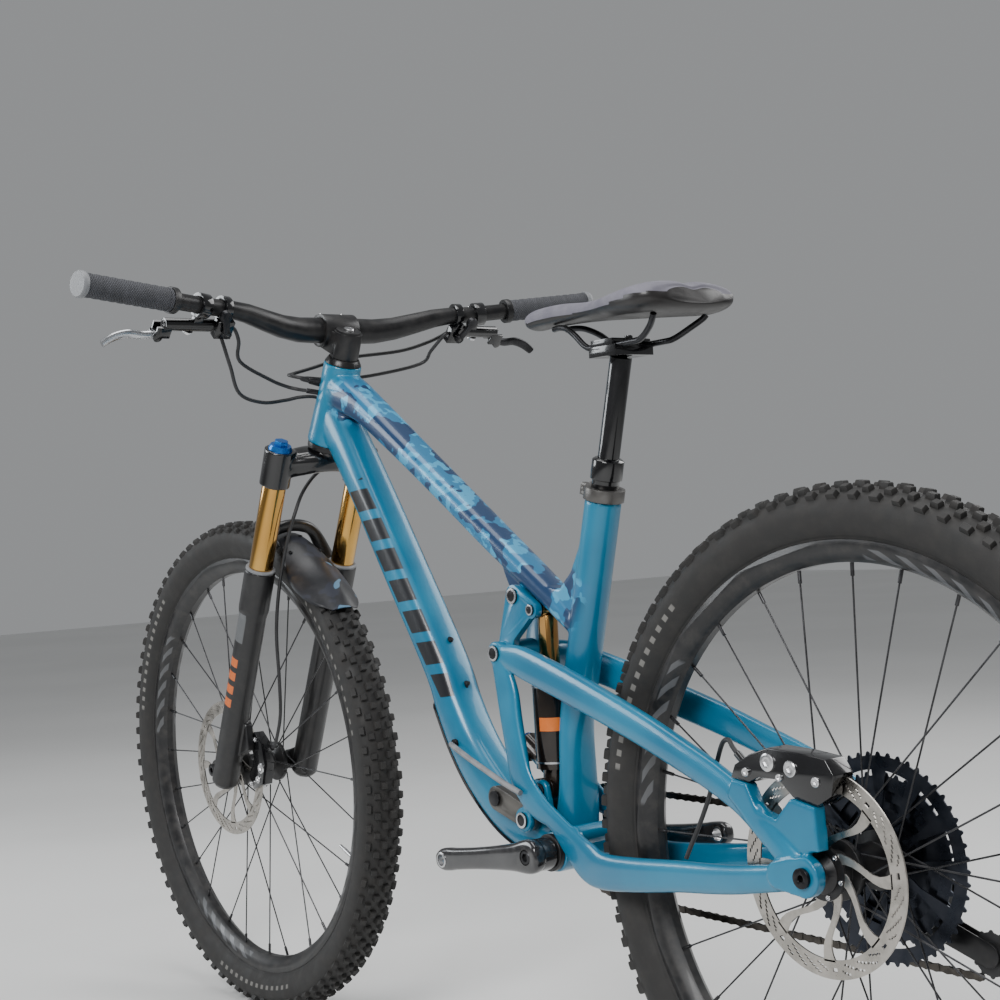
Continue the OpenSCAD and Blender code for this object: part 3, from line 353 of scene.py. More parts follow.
def position(tree):
    coords = tree.nodes.new("ShaderNodeTexCoord").outputs["Object"]
    split = tree.nodes.new("ShaderNodeSeparateXYZ")
    tree.links.new(coords, split.inputs[0])
    return coords, split.outputs[0], split.outputs[1], split.outputs[2]


def noise(tree, coords, scale, detail=3, rough=0.5):
    node = tree.nodes.new("ShaderNodeTexNoise")
    tree.links.new(coords, node.inputs["Vector"])
    feed(tree, node.inputs["Scale"], scale)
    node.inputs["Detail"].default_value = detail
    node.inputs["Roughness"].default_value = rough
    return node.outputs[0]


def surfaceGroup():
    # slow change of tone and gloss with a fine grain over it
    group, start, end = nodeGroup("surfaceVariation", [
        ("First", "NodeSocketColor", (0, 0, 0, 1)), ("Second", "NodeSocketColor", (1, 1, 1, 1)),
        ("Scale", "NodeSocketFloat", 20.0), ("Grain Scale", "NodeSocketFloat", 900.0),
        ("Rough Low", "NodeSocketFloat", 0.3), ("Rough High", "NodeSocketFloat", 0.5)],
        [("Color", "NodeSocketColor"), ("Roughness", "NodeSocketFloat"), ("Height", "NodeSocketFloat")])
    coords = position(group)[0]
    slow = ramp(group, noise(group, coords, start.outputs["Scale"], 4), 0.35, 0.65)
    fine = noise(group, coords, start.outputs["Grain Scale"], 2)
    group.links.new(mixColour(group, slow, start.outputs["First"], start.outputs["Second"]),
                    end.inputs["Color"])
    span = calc(group, "SUBTRACT", start.outputs["Rough High"], start.outputs["Rough Low"])
    group.links.new(calc(group, "MULTIPLY_ADD", span, slow, start.outputs["Rough Low"]),
                    end.inputs["Roughness"])
    group.links.new(fine, end.inputs["Height"])
    return group


def dustGroup():
    # pale dust that settles in patches
    group, start, end = nodeGroup("dustPatches", [
        ("Color", "NodeSocketColor", (0, 0, 0, 1)), ("Dust", "NodeSocketColor", (0.3, 0.26, 0.22, 1)),
        ("Amount", "NodeSocketFloat", 0.5), ("Scale", "NodeSocketFloat", 60.0)], [("Color", "NodeSocketColor")])
    coords = position(group)[0]
    patch = ramp(group, noise(group, coords, start.outputs["Scale"], 6, 0.65), 0.4, 0.72)
    group.links.new(mixColour(group, calc(group, "MULTIPLY", patch, start.outputs["Amount"]),
                              start.outputs["Color"], start.outputs["Dust"]), end.inputs["Color"])
    return group


surfaceVariation = surfaceGroup()
dustPatches = dustGroup()


def finish(name, first, second, rough=(0.3, 0.45), metal=0.0, scale=18, grain=900, bump=0.05, coat=0.0,
           dust=0.0, dustColour=(0.3, 0.26, 0.22)):
    material = bpy.data.materials.new(name)
    material.use_nodes = True
    tree = material.node_tree
    shader = tree.nodes["Principled BSDF"]
    group = tree.nodes.new("ShaderNodeGroup")
    group.node_tree = surfaceVariation
    for label, value in (("First", first), ("Second", second), ("Scale", scale), ("Grain Scale", grain),
                         ("Rough Low", rough[0]), ("Rough High", rough[1])):
        feed(tree, group.inputs[label], value)
    colour = group.outputs["Color"]
    if dust:
        cover = tree.nodes.new("ShaderNodeGroup")
        cover.node_tree = dustPatches
        for label, value in (("Color", colour), ("Dust", dustColour), ("Amount", dust)):
            feed(tree, cover.inputs[label], value)
        colour = cover.outputs["Color"]
    tree.links.new(colour, shader.inputs["Base Color"])
    tree.links.new(group.outputs["Roughness"], shader.inputs["Roughness"])
    shader.inputs["Metallic"].default_value = metal
    shader.inputs["Coat Weight"].default_value = coat
    shader.inputs["Coat Roughness"].default_value = 0.06
    if bump:
        node = tree.nodes.new("ShaderNodeBump")
        node.inputs["Strength"].default_value = bump
        node.inputs["Distance"].default_value = 0.0004
        tree.links.new(group.outputs["Height"], node.inputs["Height"])
        tree.links.new(node.outputs[0], shader.inputs["Normal"])
    return material


def parts(material):
    tree = material.node_tree
    shader = tree.nodes["Principled BSDF"]
    return tree, shader, shader.inputs["Base Color"].links[0].from_socket


def painted(material, colour):
    tree, shader, _ = parts(material)
    tree.links.new(colour, shader.inputs["Base Color"])
    return material


def between(tree, value, low, high, soft=0.0006):
    return times(tree, ramp(tree, value, low - soft, low + soft), ramp(tree, value, high + soft, high - soft))


def alongLine(tree, x, z, start, end):
    # share of the way from start to end in side view, and the distance off that line
    dx, dz = (end[0] - start[0]) * mm, (end[1] - start[1]) * mm
    length = math.hypot(dx, dz)
    px = calc(tree, "SUBTRACT", x, start[0] * mm)
    pz = calc(tree, "SUBTRACT", z, start[1] * mm)
    share = calc(tree, "ADD", times(tree, px, dx / length ** 2), times(tree, pz, dz / length ** 2))
    off = calc(tree, "SUBTRACT", times(tree, pz, dx / length), times(tree, px, dz / length))
    return share, off


def framePaint(name):
    material = finish(name, (0.0005, 0.135, 0.25), (0.0008, 0.17, 0.30), (0.3, 0.38), 0.12, 9, 1400, 0.02, 0.4)
    tree, shader, colour = parts(material)
    coords, x, y, z = position(tree)
    # camouflage of the top tube
    share, off = alongLine(tree, x, z, (-209, 589), (271, 905))
    topMask = times(tree, between(tree, off, -0.03, 0.06, 0.004), between(tree, share, 0.02, 1.02, 0.02))
    patch = ramp(tree, noise(tree, coords, 30, 2), 0.535, 0.55)
    pale = ramp(tree, noise(tree, coords, 44, 2), 0.53, 0.545)
    camo = mixColour(tree, pale, (0.015, 0.15, 0.30), (0.05, 0.30, 0.50))
    camo = mixColour(tree, patch, camo, (0.006, 0.035, 0.10))
    colour = mixColour(tree, topMask, colour, camo)
    # plain slanted bars along the down tube
    share, off = alongLine(tree, x, z, (40, 503), (238, 784))
    slanted = calc(tree, "MULTIPLY_ADD", off, 1.6, share)
    wave = fraction(tree, times(tree, slanted, 7.0))
    bars = times(tree, between(tree, wave, 0.1, 0.8, 0.01), between(tree, share, 0.0, 1.0, 0.002))
    bars = times(tree, bars, between(tree, off, -0.016, 0.016, 0.0006))
    bars = times(tree, bars, ramp(tree, calc(tree, "ABSOLUTE", y), 0.019, 0.0205))
    colour = mixColour(tree, bars, colour, (0.008, 0.009, 0.012))
    return painted(material, colour)


def lowersPaint(name):
    material = finish(name, (0.005, 0.005, 0.006), (0.009, 0.009, 0.010), (0.34, 0.46), 0, 25, 1500, 0.05, 0.2,
                      0.03)
    tree, shader, colour = parts(material)
    coords, x, y, z = position(tree)
    foot, head = steered(14, 0, -430), steered(14, 0, -300)
    share, off = alongLine(tree, x, z, (foot.x, foot.z), (head.x, head.z))
    outer = ramp(tree, calc(tree, "ABSOLUTE", y), 0.074, 0.076)
    label = times(tree, between(tree, share, 1.0, 1.35, 0.004), between(tree, off, -0.011, 0.011))
    mark = times(tree, between(tree, share, 0.15, 0.85, 0.004), between(tree, off, -0.009, 0.009))
    stripe = fraction(tree, times(tree, share, 6.0))
    mark = times(tree, mark, between(tree, stripe, 0.15, 0.75, 0.02))
    colour = mixColour(tree, times(tree, label, outer), colour, (0.10, 0.105, 0.11))
    colour = mixColour(tree, times(tree, mark, outer), colour, (0.55, 0.12, 0.02))
    return painted(material, colour)


def wheelBands(tree, x, z, y, centre):
    dx = calc(tree, "SUBTRACT", x, centre.x * mm)
    dz = calc(tree, "SUBTRACT", z, centre.z * mm)
    radius = calc(tree, "SQRT", calc(tree, "ADD", times(tree, dx, dx), times(tree, dz, dz)))
    turn = calc(tree, "DIVIDE", calc(tree, "ARCTAN2", dz, dx), 2 * math.pi)
    return radius, turn


def tyreRubber(name, centre):
    material = finish(name, (0.009, 0.0088, 0.0085), (0.016, 0.015, 0.0145), (0.6, 0.76), 0, 40, 700, 0.25, 0,
                      0.16, (0.06, 0.052, 0.045))
    tree, shader, colour = parts(material)
    coords, x, y, z = position(tree)
    radius, turn = wheelBands(tree, x, z, y, centre)
    side = between(tree, radius, 0.3345, 0.3405)
    letters = times(tree, between(tree, fraction(tree, times(tree, turn, 132.0)), 0.25, 0.7, 0.03),
                   ramp(tree, calc(tree, "SINE", times(tree, turn, 6 * math.pi)), 0.55, 0.6))
    colour = mixColour(tree, times(tree, side, letters), colour, (0.15, 0.145, 0.135))
    return painted(material, colour)


def rimPaint(name, centre):
    material = finish(name, (0.006, 0.006, 0.007), (0.011, 0.011, 0.012), (0.34, 0.46), 0.1, 30, 1300, 0.05,
                      0.1, 0.06)
    tree, shader, colour = parts(material)
    coords, x, y, z = position(tree)
    radius, turn = wheelBands(tree, x, z, y, centre)
    band = between(tree, radius, 0.2975, 0.3085)
    slanted = calc(tree, "MULTIPLY_ADD", turn, 58.0, times(tree, radius, 70.0))
    blocks = times(tree, between(tree, fraction(tree, slanted), 0.2, 0.62, 0.02),
                  ramp(tree, calc(tree, "SINE", times(tree, turn, 8 * math.pi)), 0.35, 0.42))
    colour = mixColour(tree, times(tree, band, blocks), colour, (0.085, 0.087, 0.092))
    return painted(material, colour)


def guardPlastic(name):
    material = finish(name, (0.009, 0.010, 0.013), (0.015, 0.016, 0.021), (0.34, 0.46), 0, 30, 1200, 0.08, 0,
                      0.04)
    tree, shader, colour = parts(material)
    coords = position(tree)[0]
    grey = ramp(tree, noise(tree, coords, 30, 2), 0.54, 0.57)
    blue = ramp(tree, noise(tree, coords, 24, 1), 0.63, 0.638)
    colour = mixColour(tree, grey, colour, (0.022, 0.025, 0.038))
    colour = mixColour(tree, blue, colour, (0.10, 0.20, 0.30))
    return painted(material, colour)


def gripMesh(name):
    material = finish(name, (0.045, 0.047, 0.055), (0.065, 0.067, 0.078), (0.7, 0.8), 0, 60, 500, 0.1)
    tree, shader, colour = parts(material)
    coords, x, y, z = position(tree)
    waves = []
    for weights in ((1.0, 0.9), (-1.0, 0.9)):
        along = calc(tree, "ADD", times(tree, y, 900.0 * weights[0]), times(tree, z, 900.0 * weights[1]))
        waves.append(calc(tree, "ABSOLUTE", calc(tree, "SINE", along)))
    knurl = calc(tree, "MINIMUM", waves[0], waves[1])
    bump = tree.nodes.new("ShaderNodeBump")
    bump.inputs["Strength"].default_value = 0.8
    bump.inputs["Distance"].default_value = 0.0008
    tree.links.new(knurl, bump.inputs["Height"])
    tree.links.new(bump.outputs[0], shader.inputs["Normal"])
    # painted shade: the knurl's grooves, where the bump is lowest, are mixed towards near black
    tree.links.new(mixColour(tree, ramp(tree, knurl, 0.12, 0.3), (0.005, 0.005, 0.006), colour),
                   shader.inputs["Base Color"])
    return material


print("materials")
blackGloss = finish("blackGloss", (0.004, 0.004, 0.005), (0.008, 0.008, 0.009), (0.12, 0.22), 0.2, 20, 1500,
                    0.02, 0.6)
blackSatin = finish("blackSatin", (0.006, 0.006, 0.007), (0.012, 0.012, 0.013), (0.3, 0.42), 0.2, 30, 1400,
                    0.05, 0, 0.03)
boltBlack = finish("boltBlack", (0.02, 0.02, 0.022), (0.035, 0.035, 0.038), (0.25, 0.35), 0.8, 50, 1500, 0.03)
boltSilver = finish("boltSilver", (0.55, 0.55, 0.56), (0.66, 0.66, 0.67), (0.2, 0.32), 1.0, 50, 1500, 0.03)
teal = framePaint("tealCarbonPaint")
tealPlain = finish("tealPlain", (0.0005, 0.135, 0.25), (0.0008, 0.17, 0.30), (0.3, 0.38), 0.12, 9, 1400, 0.02,
                   0.4)
linkBronze = finish("linkBronze", (0.10, 0.095, 0.088), (0.15, 0.142, 0.13), (0.3, 0.42), 0.8, 30, 1400, 0.05)
shockBrown = finish("shockBrown", (0.014, 0.010, 0.008), (0.028, 0.019, 0.014), (0.14, 0.24), 0.6, 22, 1500,
                    0.02, 0.5)
goldShaft = finish("goldShaft", (0.34, 0.17, 0.045), (0.46, 0.25, 0.08), (0.12, 0.2), 1.0, 14, 1500, 0.01, 0.3)
goldStanchion = finish("goldStanchion", (0.50, 0.27, 0.06), (0.60, 0.35, 0.09), (0.10, 0.17), 1.0, 8, 1500,
                       0.01, 0.4)
hoseBlack = finish("hoseBlack", (0.012, 0.012, 0.013), (0.02, 0.02, 0.022), (0.42, 0.55), 0, 60, 1200, 0.08)
hoseGrey = finish("hoseGrey", (0.16, 0.165, 0.175), (0.22, 0.225, 0.235), (0.45, 0.6), 0, 60, 1200, 0.08)
rubberBlack = finish("rubberBlack", (0.014, 0.014, 0.015), (0.024, 0.024, 0.026), (0.5, 0.65), 0, 50, 700, 0.2)
rotorSteel = finish("rotorSteel", (0.36, 0.34, 0.31), (0.50, 0.47, 0.43), (0.26, 0.4), 1.0, 60, 2200, 0.1)
cassetteDark = finish("cassetteDark", (0.022, 0.026, 0.036), (0.042, 0.046, 0.058), (0.26, 0.38), 0.9, 40,
                      1500, 0.05)
chainBronze = finish("chainBronze", (0.06, 0.055, 0.05), (0.11, 0.10, 0.09), (0.3, 0.45), 1.0, 90, 1500, 0.08)
crankCarbon = finish("crankCarbon", (0.016, 0.016, 0.018), (0.034, 0.033, 0.034), (0.16, 0.26), 0.3, 130, 900,
                     0.03, 0.8)
leverSilver = finish("leverSilver", (0.50, 0.51, 0.53), (0.60, 0.61, 0.63), (0.2, 0.3), 1.0, 40, 1500, 0.03)
saddleTop = finish("saddleTop", (0.125, 0.120, 0.150), (0.16, 0.155, 0.185), (0.6, 0.72), 0, 50, 650, 0.35)
saddleShell = finish("saddleShell", (0.009, 0.008, 0.008), (0.016, 0.014, 0.014), (0.3, 0.42), 0, 40, 900, 0.15)
clampGrey = finish("clampGrey", (0.11, 0.105, 0.10), (0.15, 0.145, 0.14), (0.35, 0.45), 0.8, 40, 1300, 0.05)
orangePaint = finish("orangePaint", (0.62, 0.14, 0.015), (0.70, 0.18, 0.03), (0.3, 0.4), 0, 40, 1200, 0.03)
bluePaint = finish("bluePaint", (0.01, 0.12, 0.42), (0.02, 0.17, 0.52), (0.25, 0.35), 0.7, 40, 1200, 0.03)
lowersBlack = lowersPaint("lowersBlack")
guardBlack = guardPlastic("guardBlack")
gripRubber = gripMesh("gripRubber")
wheelLooks = {"rear": (tyreRubber("rearTyreRubber", rearAxle), rimPaint("rearRimPaint", rearAxle)),
              "front": (tyreRubber("frontTyreRubber", frontAxle), rimPaint("frontRimPaint", frontAxle))}
spokeBlack = finish("spokeBlack", (0.03, 0.03, 0.032), (0.05, 0.05, 0.054), (0.24, 0.34), 0.6, 60, 1500, 0.03)


# Camera, lights and floor

view = {"at": (-1.746, 1.273, 0.729), "yaw": -36.84, "pitch": -2.30, "roll": -3.25, "focal": 1.7324,
        "axis": (0.5027, 0.5868)}


def makeCamera():
    yaw, pitch, roll = (math.radians(view[k]) for k in ("yaw", "pitch", "roll"))
    ahead = Vector((math.cos(yaw) * math.cos(pitch), math.sin(yaw) * math.cos(pitch), math.sin(pitch)))
    right = ahead.cross(Vector((0, 0, 1))).normalized()
    up = right.cross(ahead)
    r = right * math.cos(roll) + up * math.sin(roll)
    u = right * -math.sin(roll) + up * math.cos(roll)
    data = bpy.data.cameras.new("camera")
    data.sensor_width = 36
    data.lens = view["focal"] * 36
    data.shift_x = 0.5 - view["axis"][0]
    data.shift_y = view["axis"][1] - 0.5
    data.clip_end = 50
    cam = bpy.data.objects.new("camera", data)
    cam.matrix_world = Matrix.Translation(Vector(view["at"])) @ Matrix((r, u, -ahead)).transposed().to_4x4()
    bpy.context.scene.collection.objects.link(cam)
    bpy.context.scene.camera = cam


def areaLight(name, at, target, size, power, tint=(1, 1, 1)):
    data = bpy.data.lights.new(name, "AREA")
    data.shape = "RECTANGLE"
    data.size, data.size_y = size
    data.energy = power
    data.color = tint
    obj = bpy.data.objects.new(name, data)
    obj.location = at
    obj.rotation_euler = (Vector(target) - Vector(at)).to_track_quat("-Z", "Y").to_euler()
    bpy.context.scene.collection.objects.link(obj)


def makeStage():
    reach, n = 12.0, 24
    verts = [(-reach + 2 * reach * i / n, -reach + 2 * reach * j / n,
              0) for j in range(n + 1) for i in range(n + 1)]
    faces = [(j * (n + 1) + i, j * (n + 1) + i + 1, (j + 1) * (n + 1) + i + 1, (j + 1) * (n + 1) + i)
             for j in range(n) for i in range(n)]
    mesh = bpy.data.meshes.new("floor")
    mesh.from_pydata(verts, [], faces)
    floor = bpy.data.objects.new("floor", mesh)
    bpy.context.scene.collection.objects.link(floor)
    mesh.materials.append(finish("floorPale", (0.70, 0.70, 0.69), (0.74, 0.74, 0.73), (0.6, 0.7), 0, 0.8, 60,
                                 0.02))
    world = bpy.data.worlds.new("studio")
    world.use_nodes = True
    world.node_tree.nodes["Background"].inputs[0].default_value = (0.86, 0.88, 0.90, 1)
    world.node_tree.nodes["Background"].inputs[1].default_value = 0.34
    bpy.context.scene.world = world
    areaLight("keyLight", (-1.6, 2.6, 2.6), (0, 0, 0.5), (1.5, 1.5), 120)
    areaLight("fillLight", (2.6, 2.0, 1.8), (0, 0, 0.5), (1.4, 1.4), 46, (0.93, 0.97, 1.0))
    areaLight("backLight", (-0.5, -2.8, 2.4), (0, 0, 0.6), (2.6, 1.6), 60)
    areaLight("topLight", (0, 0, 3.4), (0, 0, 0), (2.6, 1.6), 50)


makeCamera()
makeStage()
print("camera and stage")


# Main frame

frameTubes = {
    "top": [[-209, 589, 17, 14, 2.6], [-132, 644, 20, 13.5, 3], [-48, 699, 21, 15, 3.2], [52, 767, 22, 15, 3.2],
            [151, 833, 23, 16, 3.2], [227, 882, 24, 19, 3], [271, 905, 26, 25, 2.8], [299, 918, 25, 27, 2.6]],
    "down": [[318, 890, 24, 30, 2.6], [296, 858, 25, 30, 2.6], [238, 777, 27, 26, 2.8], [160, 660, 28, 26, 2.8],
             [83, 543, 28, 26, 2.8], [59, 492, 28, 27, 2.8], [31, 445, 28, 29, 2.8], [-4, 405, 28, 31, 2.8],
             [-55, 366, 28, 31, 2.8], [-115, 344, 28, 28, 2.6], [-172, 336, 28, 22, 2.2]],
    "mast": [[-187, 530, 20, 20, 2], [-180, 505, 20, 20, 2], [-175, 470, 22, 16, 2.4],
             [-174, 430, 24, 14.5, 2.6],
             [-172, 395, 26, 16, 2.6], [-166, 362, 27, 22, 2.4], [-164, 340, 27, 22, 2.2]],
    "gusset": [(-228, 712), (-214, 690), (-197, 662), (-174, 642), (-150, 646), (-190, 598), (-218, 600)],
    "voxel": 2.0, "rounds": 7}
ports = [(96, 62), (79, 62), (88, 40)]


def centred(stations):
    return [[x, 0, z, a, b, e] for x, z, a, b, e in stations]


def portAt(height, turn, reach):
    t = math.radians(turn)
    return steered(reach * math.cos(t), reach * math.sin(t), height)


def makeFrame():
    d = frameTubes
    head, top = steered(0, 0, 10), steered(0, 0, 126)
    shapes = [tube(centred(d["top"]), sides=48), tube(centred(d["down"]), sides=48),
              tube(centred(d["mast"]), sides=48),
              rod(seated(0, 0, -235), seated(0, 0, -0.2), 21, None, 64), prism(d["gusset"], -15, 15),
              turned(head, aDir, [(30.8, 0), (29, 34), (26.6, 80), (26, 116)], 64),
              pin((-165, 336), 24, -36.5, 36.5), strap((-98.5, 634.5), 12.5, (-86, 668), 17, -15.7, 15.7),
              pin((-59, 389), 15, -28, 28)]
    shapes += bothSides(strap((-132, 404), 12, (-132, 366), 20, 17, 25.5))
    obj = looseObject("frontFrame", joined(shapes))
    fused(obj, d["voxel"], d["rounds"])
    cutBy(obj, [rod(seated(0, 0, -226), seated(0, 0, 8), 15.9, None, 64),
                rod(steered(0, 0, -40), steered(0, 0, 10.05), 34, None, 48),
                rod(steered(0, 0, 9), steered(0, 0, 128), 20, None, 64),
                rod(steered(0, 0, 8), steered(0, 0, 30.1), 24.1, None, 64),
                rod(steered(0, 0, 107), steered(0, 0, 130), 22.1, None, 64),
                pin((-165, 336), 18.1, -60, 60, 64),
                pin((-98.5, 634.5), 6.15, -40, 40), pin((-59, 389), 9.65, -40, 40),
                pin((-132, 404), 6.1, -40, 40),
                pin((-132, 618), 12.6, -15.9, 15.9), pin((33, 448), 6.2, 17, 60)]
          + [rod(portAt(h, t, 19), portAt(h, t, 60), 3.75, None, 24) for h, t in ports])
    placed(obj, "frame", teal, ("front_frame",), 50)
    guard = looseObject("downTubeGuard", joined([tube([[x, 0, z, a + 2.9, b + 2.9, e] for x, z, a, b,
                                                       e in d["down"][4:]],
                                                      sides=40)]))
    cutBy(guard, [prism([(120, 520), (60, 470), (0, 372), (-50, 338), (-96, 318), (-60, 290), (60, 320),
                         (160, 480)], -24, 24)],
          "INTERSECT")
    cutBy(guard, [tube([[x, 0, z, a + 0.35, b + 0.35, e] for x, z, a, b, e in d["down"]], sides=48)])
    placed(guard, "frame", rubberBlack, ("down_tube_guard",), 40)


makeFrame()
print("main frame")

# Rear triangle

stays = {
    "chain": [[-80, 35.5, 558, 5.8, 14, 2.4], [-93, 36.5, 521, 6.6, 19, 2.6], [-101, 38.5, 488, 7.5, 18, 2.6],
              [-110, 40.5, 453, 7, 18, 2.6], [-121, 43.2, 418, 4.8, 20, 2.6], [-146, 43.2, 392, 4.8, 18, 2.6],
              [-178, 43.4, 376, 5, 13, 2.6], [-210, 43.4, 352, 5, 19, 2.6], [-238, 44, 334, 5.6, 24, 2.6],
              [-270, 46.5, 328, 7.5, 21, 2.6], [-330, 51, 333, 8.5, 19, 2.6], [-400, 57, 342, 8.5, 17, 2.6],
              [-455, 63, 348, 8, 16, 2.6], [-500, 69.5, 354, 7.5, 15, 2.6], [-545, 75, 362, 7.5, 14, 2.6],
              [-596, 80.5, 371, 6, 13, 2.6]],
    "seat": [[-84, 35.5, 565, 5.8, 12, 2.4], [-125, 37.5, 557, 7.5, 19, 2.6], [-195, 43, 540, 9, 20, 2.6],
             [-285, 49.5, 515, 9.5, 19, 2.6], [-360, 56, 493, 9.5, 18, 2.6], [-420, 61, 473, 9.5, 17, 2.6],
             [-472, 66, 455, 8.5, 16, 2.6], [-520, 71, 434, 8, 15, 2.6], [-560, 75, 407, 7.5, 15, 2.6],
             [-594, 80.5, 380, 6, 13, 2.6]],
    "dropout": (-607, 373), "stayEnd": (-574, 371),
    "brakePost": [(-505, 441), (-512, 458), (-532, 455), (-545, 430), (-570, 424), (-590, 446), (-621, 440),
                  (-624, 398), (-580, 392), (-545, 405)],
    "voxel": 1.6, "rounds": 4}


def makeRearTriangle():
    d = stays
    shapes = []
    for part in (tube(d["chain"], sides=32), tube(d["seat"], sides=32), pin((-77.5, 566.5), 14, 29.6, 41.5),
                 pin((-121, 370), 15, 38.3, 45.5), strap(d["dropout"], 20, d["stayEnd"], 14, 74, 87)):
        shapes += bothSides(part)
    shapes += [pin((-213, 361), 11.5, -44, 44), prism(d["brakePost"], 65, 81)]
    obj = looseObject("rearTriangle", joined(shapes))
    fused(obj, d["voxel"], d["rounds"])
    tools = bothSides(pin((-77.5, 566.5), 5.1, 20, 60)) + bothSides(pin((-121, 370), 6.15, 30, 60))
    tools += bothSides(prism([(-100, 610), (-30, 610), (-30, 530), (-60, 520), (-100, 530)], 20, 29.55))
    cutBy(obj, tools + [pin((-608.5, 373), 6.1, -100, 100)] + bothSides(pin((-608.5, 373), 20, 60, 74.0))
          + bothSides(prism([(-140, 350), (-100, 350), (-100, 392), (-140, 392)], 30, 38.25)))
    placed(obj, "rear_triangle", tealPlain, ("rear_triangle",), 50)


makeRearTriangle()
print("rear triangle")

# Tyres

treadRows = [  # distance from the middle, reach of the knob, tilt, size along and across, offset in the pitch
    {"y": 6.2, "r": 367.0, "tilt": 4, "long": 10, "wide": 8, "tall": 5.6, "shift": 0.0},
    {"y": 15.5, "r": 364.2, "tilt": 22, "long": 9, "wide": 8, "tall": 5.2, "shift": 0.5},
    {"y": 24.2, "r": 358.4, "tilt": 44, "long": 11, "wide": 7, "tall": 5.4, "shift": 0.15}]
tyreLooks = {"pitches": 84, "segments": 168,
             "casing": [(312.5, 12), (312.5, 13.7), (317.6, 13.9), (317.9, 17), (321, 20.3), (330, 26.0),
                        (340, 28.8),
                        (350, 29.0), (357, 25.6), (362.5, 19.5), (366, 11), (367.2, 0)]}


def knob(centre, angle, row, side, scale):
    # tapered block with a broken top edge
    out = Vector((math.cos(angle), 0, math.sin(angle)))
    along = Vector((-math.sin(angle), 0, math.cos(angle)))
    tilt = math.radians(row["tilt"]) * side
    normal = out * math.cos(tilt) + Vector((0, 1, 0)) * math.sin(tilt)
    across = Vector((0, 1, 0)) * math.cos(tilt) - out * math.sin(tilt)
    base = centre + out * row["r"] + Vector((0, row["y"] * side, 0)) - normal * 1.4
    rings = []
    for h, k in ((0, 1.12), (row["tall"] * 0.85, 0.98), (row["tall"], 0.84)):
        p, q = along * row["long"] * 0.5 * k * scale, across * row["wide"] * 0.5 * k
        rings.append([base + normal * (h + (1.4 if h else 0)) + p * a + q * b for a,
                      b in ((-1, -1), (1, -1), (1, 1), (-1, 1))])
    return skin(rings)


def makeTyre(end, centre):
    d = tyreLooks
    profile = [(r, y) for r, y in d["casing"]] + [(r, -y) for r, y in reversed(d["casing"][:-1])]
    inner = [(r - 3.2, y * 0.86) for r, y in profile[2:-2]]
    loop = profile + list(reversed(inner))
    rings = []
    for k in range(d["segments"]):
        t = 2 * math.pi * k / d["segments"]
        rings.append([centre + Vector((r * math.cos(t), y, r * math.sin(t))) for r, y in loop])
    shapes = [skin(rings, closed=True)]
    for k in range(d["pitches"]):
        for row in treadRows:
            for side in (1, -1):
                shift = row["shift"] + (0.5 if side < 0 else 0.0)
                angle = 2 * math.pi * (k + shift) / d["pitches"]
                shapes.append(knob(centre, angle, row, side, 1.0 if k % 2 else 0.86))
    makePiece(end + "KnobbyTyre", joined(shapes), end + "_wheel", wheelLooks[end][0], (end + "_tyre",), 40)


# Rotors

rotorShape = {"outer": 101.5, "inner": 83, "half": 0.9, "arms": 8, "cells": 288}


def plateRing(centre, y, half, rIn, rOut, cells, rows, open_):
    # flat ring on a grid, without the cells that open_ names
    keep = [[not open_(i, j) for j in range(rows)] for i in range(cells)]

    def at(i, j, side):
        t = 2 * math.pi * i / cells
        r = rIn + (rOut - rIn) * j / rows
        return (centre.x + r * math.cos(t), y + side * half, centre.z + r * math.sin(t))
    verts = [at(i, j, s) for s in (1, -1) for i in range(cells) for j in range(rows + 1)]
    layer = cells * (rows + 1)
    faces = []

    def index(i, j, s):
        return (0 if s > 0 else layer) + (i % cells) * (rows + 1) + j
    for i in range(cells):
        for j in range(rows):
            if not keep[i][j]:
                continue
            a, b, c, e = (i, j), (i + 1, j), (i + 1, j + 1), (i, j + 1)
            faces.append(tuple(index(*p, 1) for p in (a, b, c, e)))
            faces.append(tuple(index(*p, -1) for p in (e, c, b, a)))
            for (ni, nj), (p, q) in (((i, j - 1), (a, b)), ((i + 1, j), (b, c)), ((i, j + 1), (c, e)),
                                     ((i - 1, j), (e, a))):
                if nj < 0 or nj >= rows or not keep[ni % cells][nj]:
                    faces.append((index(*p, 1), index(*p, -1), index(*q, -1), index(*q, 1)))
    return verts, faces


